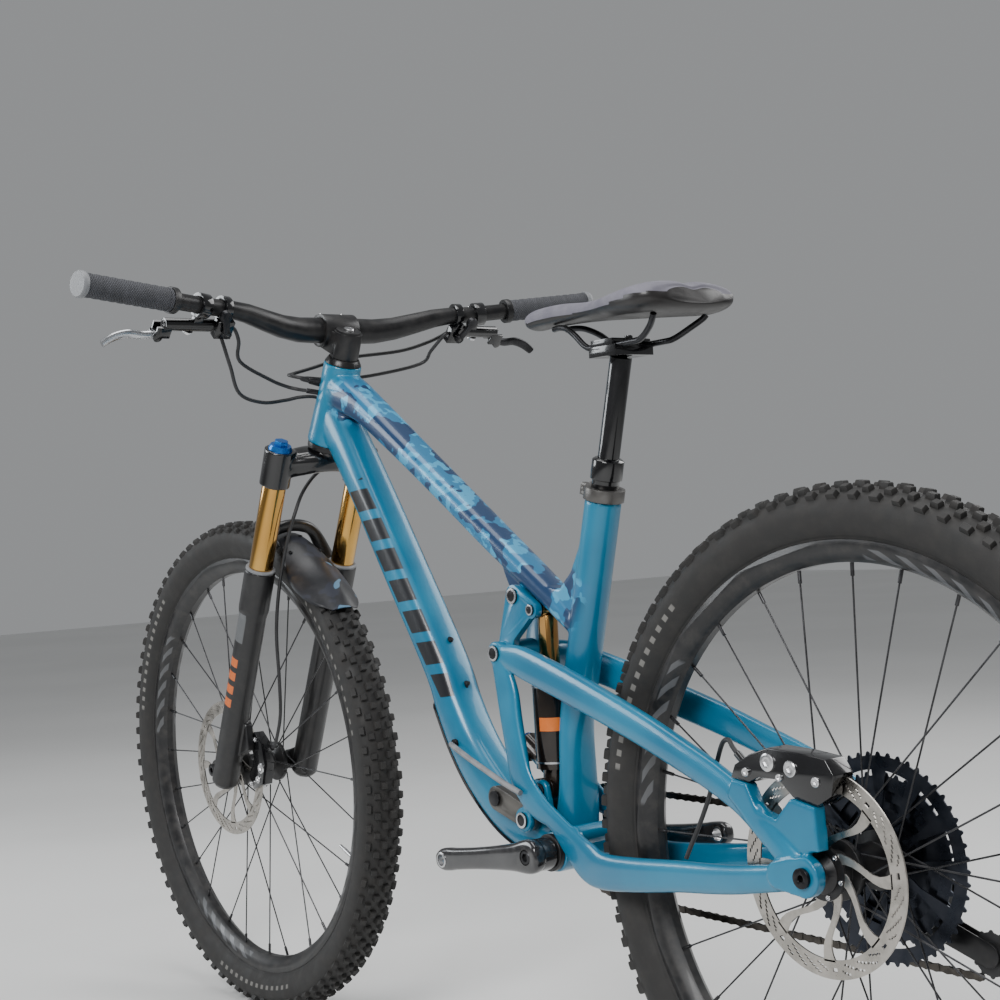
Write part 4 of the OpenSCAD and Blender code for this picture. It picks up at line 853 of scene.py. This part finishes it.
def makeRotor(end, centre, y):
    d = rotorShape

    def slotted(i, j):
        # slanted slots with a round hole after every third
        if (i // 9) % 4 == 3:
            return i % 9 in (3, 4, 5) and j in (4, 5)
        return (i + 2 * j) % 9 in (0, 1) and 2 <= j <= 7
    shapes = [plateRing(centre, y, d["half"], d["inner"], d["outer"], d["cells"], 10, slotted)]
    for k in range(d["arms"]):
        start = 2 * math.pi * k / d["arms"]
        rings = []
        for i in range(9):
            u = i / 8
            r = 23 + (85 - 23) * u
            t = start + 0.75 * u + 0.3 * math.sin(math.pi * u)
            wide = (7.2 - 3.6 * math.sin(math.pi * u)) / r
            rings.append([(centre.x + r * math.cos(t + s * wide), y + h * d["half"],
                           centre.z + r * math.sin(t + s * wide))
                          for s, h in ((-1, -1), (1, -1), (1, 1), (-1, 1))])
        shapes.append(skin(rings))
    makePiece(end + "RotorPlate", joined(shapes), end + "_wheel", rotorSteel, (end + "_rotor",), 30)
    middle = centre + Vector((0, y - 1.6, 0))
    carrier = [turned(middle, (0, 1, 0), [(20.1, 0.2), (27, 0.2), (27.4, 1), (26.6, 3.4), (20.1, 3.8)], 48,
                      True)]
    makePiece(end + "RotorCarrier", joined(carrier), end + "_wheel", blackSatin)
    screws = [bolt((centre.x + 23.5 * math.cos(t), y + 2.0, centre.z + 23.5 * math.sin(t)), (0, 1, 0), 2.7, 1.2)
              for t in (math.radians(60 * k + 15) for k in range(6))]
    makePiece(end + "RotorScrews", joined(screws), end + "_wheel", boltSilver)


def makeWheels():
    for end, centre, y in (("rear", rearAxle, 58), ("front", frontAxle, 46)):
        makeTyre(end, centre)
        makeRotor(end, centre, y)
        softened(end + "_rim", wheelLooks[end][1], 0.5)
        softened(end + "_hub", blackSatin, 0.6)
        nodes[end + "_spokes"].data.materials.clear()
        nodes[end + "_spokes"].data.materials.append(spokeBlack)
        valve = centre + Vector((-293 * math.cos(0.4), 0, -293 * math.sin(0.4)))
        inward = (centre - valve).normalized()
        stem = turned(valve - inward * 2, inward,
                      [(4.6, 0), (4.6, 3), (3.0, 3.4), (3.0, 30), (2.2, 30.4), (2.2, 40), (1.2, 41)], 24)
        makePiece(end + "Valve", stem, end + "_wheel", boltSilver)


makeWheels()
print("wheels")

# Drivetrain

pitch = 12.7
ringY, cogY = -52, -62.5
innerPlate, outerPlate = 1.05, 1.75
cogList = [52, 42, 36, 32, 28, 24, 21, 18, 16, 14, 12, 10]


def sprocketR(teeth):
    return pitch / (2 * math.sin(math.pi / teeth))


def gear(centre, teeth, y, half, rIn, rise=1.4, phase=0.0):
    # toothed ring: outline with a rounded gap at each roller
    r = sprocketR(teeth)
    steps = 8
    rings = []
    for i in range(teeth * steps):
        t = 2 * math.pi * (i / steps) / teeth + phase
        u = (i % steps) / steps
        tooth = max(0.0, math.cos(2 * math.pi * u)) ** 0.7
        rOut = r - 3.1 + (3.1 + rise) * tooth
        thin = half * (1 - 0.35 * tooth)
        c, s = math.cos(t), math.sin(t)
        rings.append([(centre.x + a * c, y + b, centre.z + a * s)
                      for a, b in ((rIn, -half), (r - 3.4, -half), (rOut, -thin), (rOut, thin),
                                   (r - 3.4, half), (rIn, half))])
    return skin(rings, closed=True)


def linkPlate(a, b, y0, y1, r=4.0):
    # figure-eight plate between two rollers
    a, b = Vector(a), Vector(b)
    d = (b - a).normalized()
    k = Vector((-d.z, 0, d.x))
    outline = []
    for centre, s in ((b, 1), (a, -1)):
        for i in range(7):
            t = -math.pi / 2 + math.pi * i / 6
            outline.append(centre + (d * math.cos(t) + k * math.sin(t)) * r * s)
        outline.append((a + b) / 2 + k * 2.9 * s)
    return skin([[(p.x, p.y + y0, p.z) for p in outline], [(p.x, p.y + y1, p.z) for p in outline]])


def chainAlong(points, inner, outer):
    shapes = []
    for i in range(len(points) - 1):
        a, b = points[i], points[i + 1]
        off = inner if i % 2 else outer
        shapes.append(linkPlate(a, b, off, off + 0.55))
        shapes.append(linkPlate(a, b, -off - 0.55, -off))
    for p in points:
        shapes.append(rod(p - Vector((0, outer + 0.6, 0)), p + Vector((0, outer + 0.6, 0)), 1.7, None, 12))
    return joined(shapes)


def arcPoints(centre, teeth, y, a0, a1):
    r = sprocketR(teeth)
    count = int(round((a1 - a0) * teeth / 360))
    return [centre + Vector((r * math.cos(math.radians(a0 + 360 / teeth * i)), y,
                             r * math.sin(math.radians(a0 + 360 / teeth * i))))
            for i in range(count + 1)]


def straightPoints(a, b):
    length = (b - a).length
    count = int(length / pitch)
    return [a + (b - a) * ((i + 0.5) * pitch / length) for i in range(count)]


def makeDrivetrain():
    ringR, cogR, pulleyR = sprocketR(32), sprocketR(12), sprocketR(12)
    ringTop, ringBottom = bracket + Vector((0, -51.6, ringR)), bracket + Vector((0, -51.6, -ringR))
    cogTop = rearAxle + Vector((0, cogY, cogR))
    upper, lower = Vector((-632, 0, 311)), Vector((-706, 0, 287))
    below = lower + Vector((0, cogY, -pulleyR))
    for name, points, body, node in (
            ("ringChain", arcPoints(bracket, 32, ringY, -84.4, 84.4), "frame", "chain_ring_wrap"),
            ("cogChain", arcPoints(rearAxle, 12, cogY, 105, 255), "rear_triangle", "chain_cog_wrap"),
            ("upperChain", straightPoints(ringTop, cogTop), "chain_upper_run", "chain_upper_run"),
            ("lowerChain", straightPoints(ringBottom, below), "chain_lower_run", "chain_lower_run")):
        makePiece(name, chainAlong(points, innerPlate, outerPlate), body, chainBronze, (node,))
    spider = [gear(bracket, 32, ringY, 0.7, 58), turned(bracket + Vector((0, -55.9, 0)), (0, 1, 0),
              [(14.7, 0), (26, 0), (26, 4.4), (14.7, 4.4)], 48, True)]
    for k in range(6):
        t = math.pi * k / 3 + 0.3
        c, s = math.cos(t), math.sin(t)
        spider.append(skin([[(bracket.x + r * c - w * s, y, bracket.z + r * s + w * c) for w,
                             y in ((-a, -52.7), (a, -52.7), (a, -51.3), (-a, -51.3))]
                            for r, a in ((22, 8), (42, 4.5), (60, 8))]))
    makePiece("ringTeeth", joined(spider), "crankset", blackSatin, ("chainring",), 30)
    step = 3.65
    shapes = []
    for k, teeth in enumerate(cogList):
        r = sprocketR(teeth)
        inner = max(17.2, r - 17 if teeth > 30 else r - 12)
        shapes.append(gear(rearAxle, teeth, -26 - step * k, 0.8, inner, 1.2 if teeth != 12 else 0.6))
    shapes.append(turned(rearAxle + Vector((0, -67.2, 0)), (0, 1, 0),
                         [(16.95, 0), (19, 0), (19, 40.5), (16.95, 40.5)], 48, True))
    for k in range(12):
        t = 2 * math.pi * k / 12
        c, s = math.cos(t), math.sin(t)
        shapes.append(skin([[(rearAxle.x + r * c - w * s, y, rearAxle.z + r * s + w * c) for w,
                             y in ((-a, -26.7), (a, -26.7), (a, -25.3), (-a, -25.3))]
                            for r, a in ((18, 6), (52, 3.2), (90, 9))]))
    makePiece("sprocketStack", joined(shapes), "cassette", cassetteDark, ("cassette",), 30)
    for name, at in (("upper", upper), ("lower", lower)):
        wheel = [gear(at, 12, cogY, 0.7, 12, -0.6),
                 turned(at + Vector((0, -64, 0)), (0, 1, 0), [(2.6, 0), (13, 0), (13, 3), (2.6, 3)], 32, True)]
        makePiece(name + "PulleyWheel", joined(wheel), name + "_pulley", rubberBlack, (name + "_pulley",), 30)
    softened("derailleur_body", blackSatin, 1.5)
    softened("derailleur_cage", blackSatin, 0.3)


makeDrivetrain()
print("drivetrain")

# Cranks and bottom bracket

crank = {"length": 172.5, "angle": 8, "inner": 62, "outer": 80}


def makeCranks():
    a = math.radians(crank["angle"])
    for side, node in ((1, "left_crank"), (-1, "drive_crank")):
        d = Vector((math.cos(a), 0, -math.sin(a))) * side
        stations = []
        for u, tall, y in ((-20, 6, 70), (-17, 13, 70), (-8, 19, 70), (6, 20, 70.5), (30, 16.5, 71),
                           (70, 14.2, 71), (110, 13.2, 71),
                           (145, 13.4, 71), (162, 14.2, 71), (176, 13.4, 71), (184, 9, 71), (186.5, 4, 71)):
            p = bracket + d * u
            thick = 8.9 if abs(u) < 60 else 7.4
            stations.append([p.x, y * side, p.z, min(thick, tall), tall, 3.0])
        obj = looseObject(node.replace("_", "") + "Arm", joined([tube(stations, sides=40, steps=5)]))
        hub = pin((bracket.x, bracket.z), 19, 46.2, 62.5) if side > 0 else pin((bracket.x, bracket.z), 18.9,
                                                                               -62.5, -56.1)
        cutBy(obj, [hub], "UNION")
        pedal = bracket + d * crank["length"]
        cutBy(obj, [pin((pedal.x, pedal.z), 7.3, 50 if side > 0 else -100, 100 if side > 0 else -50)])
        if side > 0:
            cutBy(obj, [pin((bracket.x, bracket.z), 14.6, 40, 74), pin((bracket.x, bracket.z), 9.2, 60, 90)])
        else:
            cutBy(obj, [rod((bracket.x, -62.2, bracket.z), (bracket.x, 73.4, bracket.z), 14.45, None, 64)],
                  "UNION")
            cutBy(obj, [pin((bracket.x, bracket.z), 11, -100, 80)])
        placed(obj, "crankset", crankCarbon, (node,), 40)
        sleeve = turned((pedal.x, side * 63.6, pedal.z), (0, side, 0),
                        [(7.2, 0), (9.4, 0), (9.4, 15.4), (8.6, 15.9), (7.2, 15.9)], 32, True)
        makePiece("pedalInsert" + ("Left" if side > 0 else "Drive"), sleeve, "crankset", boltSilver)
    cap = bolt((bracket.x, 74.6, bracket.z), (0, 1, 0), 8.8, 4.6, 0.6)
    makePiece("crankCap", cap, "crankset", boltBlack)
    softened("bottom_bracket", blackSatin, 0.8)


makeCranks()
print("cranks")

# Links, shock and bolts

pivotBolts = [((-98.5, 634.5), 25.05, 9.5, "rocker"), ((-132, 618), 25.05, 6.5, "rocker"),
              ((-77.5, 566.5), 41.6, 9.5, "rear_triangle"),
              ((-59, 389), 38.05, 9.5, "lower_link"), ((-121, 370), 45.8, 9.5, "lower_link"),
              ((-132, 404), 25.0, 8, "frame")]


def makeLinkage():
    softened("rocker_link", tealPlain, 1.6)
    softened("lower_link", linkBronze, 1.4)
    for node in ("rocker_bolts", "lower_link_bolts", "rear_pivot_bolts"):
        softened(node, boltBlack, 0.3)
    softened("frame_fittings", boltBlack, 0.3)
    for k, ((x, z), face, r, body) in enumerate(pivotBolts):
        rings = []
        for side in (1, -1):
            rings.append(turned((x, side * (face + 2.1), z), (0, side, 0),
                                [(r * 0.72, 0), (r * 0.98, 0), (r * 0.98, 0.5), (r * 0.72, 0.7)], 36, True))
        makePiece("pivotRing%d" % k, joined(rings), body, boltSilver)
    softened("shock_can", shockBrown, 0.9)
    softened("shock_shaft", goldShaft, 0.5)
    foot = Vector((-132, 0, 404))
    bands = [turned(foot + Vector((0, 0, h)), (0, 0, 1),
                    [(r - 0.6, 0), (r + 0.7, 0), (r + 0.7, w), (r - 0.6, w)], 64, True)
             for h, r, w in ((31, 23, 2.2), (121, 23, 2.2), (129, 20, 3.0))]
    makePiece("shockRings", joined(bands), "shock_can", boltSilver)
    mark = turned(foot + Vector((0, 0, 70)), (0, 0, 1), [(22.8, 0), (23.5, 0), (23.5, 16), (22.8, 16)], 64,
                  True)
    obj = looseObject("shockMark", joined([mark]))
    cutBy(obj, [prism([(-170, 460), (-135, 460), (-135, 500), (-170, 500)], 2, 40)], "INTERSECT")
    placed(obj, "shock_can", orangePaint)
    elbow = foot + Vector((10, 0, 24))
    slope = Vector((math.sin(math.radians(55)), 0, math.cos(math.radians(55))))
    dial = turned(elbow + slope * 49.5, slope, [(0.01, 0), (9, 0), (9, 5), (8, 6), (0.01, 6)], 32)
    makePiece("shockDial", dial, "shock_can", bluePaint)


makeLinkage()
print("linkage")

# Fork

forkShape = {
    "crown": [[14, -68, -32, 19, 18, 2.6], [11, -48, -25, 21, 17, 2.8], [4, -24, -17, 26, 16, 2.8],
              [2, 0, -15, 28, 15, 2.8],
              [4, 24, -17, 26, 16, 2.8], [11, 48, -25, 21, 17, 2.8], [14, 68, -32, 19, 18, 2.6]],
    "arch": [[22, 64, -216, 9, 15, 2.4], [44, 56, -186, 8, 12, 2.4], [54, 36, -153, 7, 9, 2.4],
             [56, 14, -142, 7, 9, 2.4],
             [56, -14, -142, 7, 9, 2.4], [54, -36, -153, 7, 9, 2.4], [44, -56, -186, 8, 12, 2.4],
             [22, -64, -216, 9, 15, 2.4]],
    "leg": 14, "legY": 68, "seal": -188, "foot": -543, "voxel": 1.5}


def steeredStations(stations):
    return [list(steered(n, y, a)) + [w, h, e] for n, y, a, w, h, e in stations]


def legRod(side, a0, a1, r, r2=None):
    d = forkShape
    return rod(steered(d["leg"], side * d["legY"], a0), steered(d["leg"], side * d["legY"], a1), r, r2, 56)


def steeredPrism(outline, y0, y1):
    return skin([[steered(n, y, a) for n, a in outline] for y in (y0, y1)])


def steeredPin(p, r, y0, y1, sides=40):
    return rod(steered(p[0], y0, p[1]), steered(p[0], y1, p[1]), r, None, sides)


def makeFork():
    d = forkShape
    crown = [tube(steeredStations(d["crown"]), nDir, 40),
             rod(steered(0, 0, -20), steered(0, 0, 1.6), 24, None, 56),
             turned(steered(0, 0, -2), aDir, [(19, 0), (19, 26), (14.3, 66), (14.3, 172)], 48)]
    for side in (1, -1):
        crown += [legRod(side, -58, -5, 21.5)]
    obj = looseObject("forkCrownBody", joined(crown))
    fused(obj, d["voxel"], 3)
    cutBy(obj, [legRod(s, -59, 2, 17.1) for s in (1, -1)] + [rod(steered(0, 0, -60), steered(0, 0, 180), 11,
                                                                 None, 40)])
    placed(obj, "steering", blackGloss, ("fork_crown",), 50)
    softened("fork_stanchions", goldStanchion, 0.4)
    for side, look in ((1, bluePaint), (-1, blackGloss)):
        cap = [turned(steered(d["leg"], side * d["legY"], -7.5), aDir,
                      [(0.01, 0), (16.6, 0), (16.6, 5), (14.5, 8.6), (14.5, 9.2), (0.01, 9.2)], 48),
               turned(steered(d["leg"], side * d["legY"], 0.8), aDir,
                      [(0.01, 0), (10.5, 0), (10.5, 6), (9, 7.6), (0.01, 7.6)], 6 if side > 0 else 32)]
        makePiece("topCap" + ("Left" if side > 0 else "Right"), joined(cap), "steering", look)
    lowers = [tube(steeredStations(d["arch"]), nDir, 32)]
    for side in (1, -1):
        lowers += [legRod(side, -250, d["seal"], 22), legRod(side, -262, -249, 20, 22),
                   legRod(side, d["foot"] + 6, -248, 20),
                   legRod(side, d["foot"], d["foot"] + 7, 15, 20)]
        strip = []
        for u in range(21):
            t = math.radians(252) + math.pi * u / 20
            strip.append((44 + 15 * math.cos(t), -534 + 15 * math.sin(t)))
        for u in range(21):
            t = math.radians(72) + math.pi * u / 20
            strip.append((22 + 18 * math.cos(t), -519 + 18 * math.sin(t)))
        y = sorted((side * 55.3, side * 69))
        lowers.append(steeredPrism(strip, *y))
    lowers.append(steeredPrism([(10, -420), (10, -500), (-26, -462), (-10, -430)], 52, 64))
    obj = looseObject("forkLowersBody", joined(lowers))
    fused(obj, d["voxel"], 4)
    cutBy(obj, [legRod(s, -473, -170, 17.12) for s in (1, -1)] + [steeredPin((44, -534), 7.6, -100, 100)])
    placed(obj, "fork_lowers", lowersBlack, ("fork_lowers",), 50)
    seals = [turned(steered(d["leg"], s * d["legY"], d["seal"] + 0.2), aDir,
                    [(17.2, 0), (21.2, 0), (21.2, 2.2), (19.6, 3.6), (17.2, 3.6)], 56, True)
             for s in (1, -1)]
    makePiece("wiperSeals", joined(seals), "fork_lowers", hoseGrey)
    softened("front_axle", boltBlack, 0.4)
    softened("front_caliper", blackGloss, 1.6)
    softened("rear_caliper", blackGloss, 2.0)
    screws = [bolt(steered(n, 51.8, a), (0, 1, 0), r, 2.4) for n, a,
              r in ((-22, -448, 4), (-34, -516, 4), (-52, -480, 7.5), (-50, -500, 5.5))]
    makePiece("frontCaliperScrews", joined(screws), "fork_lowers", boltSilver)
    screws = [bolt((x, 77.1, z), (0, 1, 0), r, 2.4) for x, z,
              r in ((-530, 466, 4.5), (-560, 478, 9), (-590, 474, 8), (-622, 464, 5), (-575, 464, 4))]
    makePiece("rearCaliperScrews", joined(screws), "rear_triangle", boltSilver)
    softened("rear_axle", boltBlack, 0.5)


guardShape = {"angles": [87, 93, 99, 105, 111, 115], "half": [22, 30, 42, 46, 38, 20], "r": 379,
              "crown": 0.012, "thick": 1.6}


def makeMudguard():
    d = guardShape
    rows = spline([[a, h] for a, h in zip(d["angles"], d["half"])], 6)
    across = 24
    rings = []
    for angle, half in rows:
        c, s = math.cos(math.radians(angle)), math.sin(math.radians(angle))
        ring = []
        for drop, order in ((d["thick"], range(across + 1)), (0, range(across, -1, -1))):
            for j in order:
                y = half * (2 * j / across - 1)
                r = d["r"] - d["crown"] * y * y - drop
                ring.append(steered(44 + r * c, y, -534 + r * s))
        rings.append(ring)
    makePiece("mudguardSheet", skin(rings), "fork_lowers", guardBlack, ("mudguard",), 60)
    studs = []
    for angle, y in ((89, 12), (89, -12), (95, 24), (95, -24)):
        c, s = math.cos(math.radians(angle)), math.sin(math.radians(angle))
        r = d["r"] - d["crown"] * y * y + 0.1
        out = nDir * c + aDir * s
        studs.append(bolt(steered(44 + r * c, y, -534 + r * s), out, 3.4, 1.4))
    makePiece("mudguardStuds", joined(studs), "fork_lowers", boltBlack)


makeFork()
makeMudguard()
print("fork")

# Cockpit

bar = {"at": (33, 161.5), "flat": 45, "rise": 33, "end": 200, "half": 400, "mid": 17.5, "r": 11.1,
       "taper": (50, 190)}
controls = {"y": 220, "tilt": 71, "pivot": (47, 52), "pod": -34}


def barLocal(y):
    a = abs(y)
    past, out = max(a - bar["flat"], 0), max(a - bar["end"], 0)
    rise = bar["rise"] * (1 - math.cos(math.pi * min(past / (bar["end"] - bar["flat"]), 1))) / 2 + 0.16 * out
    return bar["at"][0] - 0.118 * past, y, bar["at"][1] + rise


def barRadius(y):
    a = abs(y)
    start, end = bar["taper"]
    return bar["mid"] - (bar["mid"] - bar["r"]) * min(max((a - start) / (end - start), 0), 1)


def control(x, y, z, side):
    t = math.radians(controls["tilt"])
    n0, _, a0 = barLocal(controls["y"])
    return steered(n0 + x * math.cos(t) + z * math.sin(t), side * (controls["y"] + y),
                   a0 - x * math.sin(t) + z * math.cos(t))


def makeCockpit():
    reach = (40, 60, 90, 120, 150, 180, 211, 236, 262, 295, 330, 365, 400)
    stations = []
    for y in [-v for v in reversed(reach)] + [0] + list(reach):
        stations.append(list(steered(*barLocal(y))) + [barRadius(y) - 0.1, barRadius(y) - 0.1, 2])
    makePiece("handlebarTube", tube(stations, nDir, 40, 1), "steering", blackSatin, ("handlebar",), 60)
    for side in (1, -1):
        start, end = steered(*barLocal(side * 262)), steered(*barLocal(side * 400))
        along = (end - start).normalized()
        length = (end - start).length
        sleeve = [(11.7, 9), (15.4, 9.4), (15.1, 14)]
        for k in range(30):
            h = 14 + (length - 24) * k / 29
            sleeve.append((15.2 - (0.7 if k % 3 == 0 else 0), h))
        sleeve += [(15.2, length - 6), (11.7, length - 5.6)]
        name = "Left" if side > 0 else "Right"
        makePiece("grip" + name, turned(start, along, sleeve, 64, True), "steering", gripRubber,
                  ("grips",) if side > 0 else (), 30)
        collar = [turned(start, along, [(11.7, 0), (16.6, 0), (17, 0.6), (17, 8), (16.4, 8.7), (11.7, 8.7)],
                         48, True)]
        makePiece("gripCollar" + name, joined(collar), "steering", blackSatin)
        cap = turned(start + along * (length - 5.3), along,
                     [(11.7, 0), (16.4, 0), (17, 1), (17, 6), (15.6, 8), (0.01, 8.2), (0.01, 5.6),
                      (11.7, 5.6)], 48)
        makePiece("gripCap" + name, cap, "steering", hoseGrey)
    softened("stem", blackSatin, 1.6)
    screws = [bolt(steered(bar["at"][0] + 22.4 * math.cos(t), y, bar["at"][1] + 22.4 * math.sin(t)),
                   nDir * math.cos(t) + aDir * math.sin(t), 3.6, 3)
              for t in (0.72, -0.72) for y in (-17, 17)]
    screws.append(bolt(steered(0, 0, 173.1), aDir, 7, 3, 0.5))
    makePiece("stemScrews", joined(screws), "steering", boltSilver)
    softened("headset_cups", blackSatin, 0.6)
    softened("bar_controls", blackGloss, 0.9)
    extras = []
    for side in (1, -1):
        extras += [bolt(control(47, 52, 9.05, side), control(0, 0, 1, side) - control(0, 0, 0, side), 4.6, 2),
                   bolt(control(31, 45.1, 0, side), control(0, 1, 0, side) - control(0, 0, 0, side), 5.4, 2),
                   bolt(control(0, -3, 16.4, side), control(0, 0, 1, side) - control(0, 0, 0, side), 3.2, 2.6)]
        out = control(1, 0, 0, side) - control(0, 0, 0, side)
        extras.append(turned(control(39.6, 8, 0, side), out,
                             [(0.01, 0), (6.4, 0), (6.4, 3), (5.4, 4), (0.01, 4)], 32))
    makePiece("controlScrews", joined(extras), "steering", boltSilver)
    blade = [(47, 56, 0, 5, 4.5, 2.4), (49, 72, 0, 6, 4.2, 2.4), (48, 90, 1, 6.5, 3.6, 2.4),
             (52, 108, -1, 6.5, 3.4, 2.4), (60, 124, -5, 5.5, 4, 2.2)]
    for side, body, look in ((1, "left_brake_lever", leverSilver), (-1, "right_brake_lever", boltBlack)):
        stations = [list(control(x, y, z, side)) + [a, b, e] for x, y, z, a, b, e in blade]
        across = control(1, 0, 0, side) - control(0, 0, 0, side)
        obj = looseObject(body.replace("_", "") + "Blade", tube(stations, across, 28, 8))
        cutBy(obj, [rod(control(47, 52, -5, side), control(47, 52, 5, side), 6, None, 40)], "UNION")
        cutBy(obj, [rod(control(47, 52, -12, side), control(47, 52, 12, side), 2.6, None, 24)])
        placed(obj, body, look, (body,), 50)
    softened("shift_paddle", boltBlack, 0.8)
    softened("dropper_paddle", boltBlack, 0.8)


makeCockpit()
print("cockpit")

# Saddle and post

saddleShape = {
    "path": [[-137, 952, 12, 7, 2.2], [-144, 955, 17, 11, 2.4], [-165, 957, 20, 12, 2.6],
             [-205, 957, 22, 12, 2.6],
             [-250, 954, 27, 11, 2.6], [-290, 952, 40, 12, 2.6], [-330, 951, 56, 15, 2.6],
             [-365, 950, 67, 18, 2.6],
             [-392, 950, 69, 18, 2.6], [-408, 950, 60, 14, 2.4], [-413, 951, 40, 9, 2.2]],
    "hollow": [[-220, 930, 14, 11, 2.6], [-300, 928, 34, 15, 2.6], [-360, 928, 54, 14, 2.6],
               [-396, 929, 50, 10, 2.6]],
    "rail": [[-186, 9, 941.2], [-200, 12, 941.2], [-216, 15, 938], [-236, 20, 928]]}


def makeSaddle():
    d = saddleShape
    obj = looseObject("saddlePad", tube(centred(d["path"]), sides=64, steps=8))
    cutBy(obj, [tube(centred(d["hollow"]), sides=48, steps=6)])
    bm = bmesh.new()
    bm.from_mesh(obj.data)
    for v in bm.verts:
        x, y, z = v.co
        back = min(max((-0.20 - x) / 0.2, 0), 1)
        if z > 0.955:
            v.co.z -= 0.0035 * math.exp(-(y / 0.011) ** 2) * (0.3 + 0.7 * back)  # relief channel
    bm.to_mesh(obj.data)
    bm.free()
    placed(obj, "dropper_post", saddleTop, ("saddle",), 55)
    obj.data.materials.append(saddleShell)
    for face in obj.data.polygons:
        x, y, z = face.center
        edge = 0.944 + 0.009 * min(max((-x - 0.26) / 0.14, 0), 1)
        if z < edge or face.normal.z < -0.2:
            face.material_index = 1
    origin = seated(0, 0, 164)
    railZ = origin.z + 10.5
    path = d["rail"] + [[-256, 22, railZ + 3], [-272, 22, railZ], [-335, 22, railZ], [-352, 24, railZ + 2],
                        [-372, 30, 922],
                        [-384, 36, 929.5], [-388, 38, 933.6]]
    rails = cord(path, 3.45, sides=20)
    makePiece("saddleRailPair", joined(bothSides(rails)), "dropper_post", boltBlack, ("saddle_rails",), 60)
    softened("dropper_shaft", blackGloss, 0.8)
    softened("dropper_housing", blackGloss, 0.8)
    softened("seat_clamp", clampGrey, 0.8)


makeSaddle()
print("saddle")

# Hoses

hoseRoutes = {
    "frontLine": [[24, 192.2, 168], [24, 187, 167], [26, 178, 151], [12, 166, 116], [12, 146, 78],
                  [20, 104, 62], [34, 60, 60],
                  [46, 30, 60], [50, 0, 58], [46, -26, 44], [40, -38, 28], [36.6, -38.2, 18], [36, -38, 8]],
    "postLine": [[10, 173.2, 168], [10.2, 168.5, 167], [14, 158, 150], [20, 148, 120], [34, 90, 90],
                 [34, 62, 80], [26, 49, 79],
                 [20.5, 38.4, 79]],
    "rearLine": [[24, -192.2, 168], [24.4, -187, 167.5], [30, -160, 150], [38, -116, 132], [54, -38, 115],
                 [60, 10, 98],
                 [56, 44, 90], [40, 56, 94], [26, 50, 96], [20.5, 38.4, 96]],
    "shiftLine": [[10, -173.2, 168], [10.3, -168.5, 167], [18, -156, 140], [29, -149, 116], [40, -75, 94],
                  [50, -20, 85],
                  [52, 20, 86], [42, 35, 88], [33.3, 27.9, 88]],
    "forkLine": [[36, -38, 7.7], [36, -37.6, -2], [37, -36, -14], [35, -24, -38], [24, 2, -54], [6, 26, -70],
                 [-10, 42, -92],
                 [-15, 50, -130], [-16, 51, -200], [-24, 48, -270], [-46, 44, -335], [-62, 42, -385],
                 [-62, 41, -425],
                 [-58.5, 40.2, -440], [-54.3, 40, -445.6]],
    "link": [[33, 35, 448], [10, 42, 444], [-20, 48, 437], [-56, 52, 427], [-94, 52.5, 414], [-128, 52, 404]],
    "rear": [[-414, 56, 362.5], [-420, 54, 376], [-432, 51, 400], [-448, 50, 432], [-462, 51, 466],
             [-476, 55, 488],
             [-489, 59, 492.5], [-496, 61, 487], [-502.8, 62, 481.2]], "r": 2.5}


def makeHoses():
    d = hoseRoutes
    r = d["r"]

    def line(name, points, ref, look, radius=r):
        return placed(looseObject(name, cord(points, radius, ref)), None, look, (), 60)
    world = {k: [steered(*p) for p in d[k]] for k in ("frontLine", "postLine", "rearLine", "shiftLine",
                                                      "forkLine")}
    first = placed(looseObject("frontLine", cord(world["frontLine"], r, (0, 0, 1))), "steering", hoseBlack,
                   ("bar_hoses",), 60)
    for name in ("postLine", "rearLine", "shiftLine"):
        obj = line(name, world[name], (0, 0, 1), hoseBlack)
        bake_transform(obj)
    obj = line("forkLine", world["forkLine"], (0, 1, 0), hoseBlack)
    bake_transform(obj)
    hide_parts("front_brake_hose")
    obj = line("linkHoseFront", d["link"][:4], (0, 1, 0), hoseGrey, r + 1)
    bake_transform(obj)
    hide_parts("link_hose")
    obj = line("linkHoseRear", d["link"][3:], (0, 1, 0), hoseGrey, r + 1)
    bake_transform(obj)
    placed(looseObject("rearLineEnd", cord(d["rear"], r)), "rear_triangle", hoseBlack, ("rear_brake_hose",), 60)


makeHoses()
print("hoses")
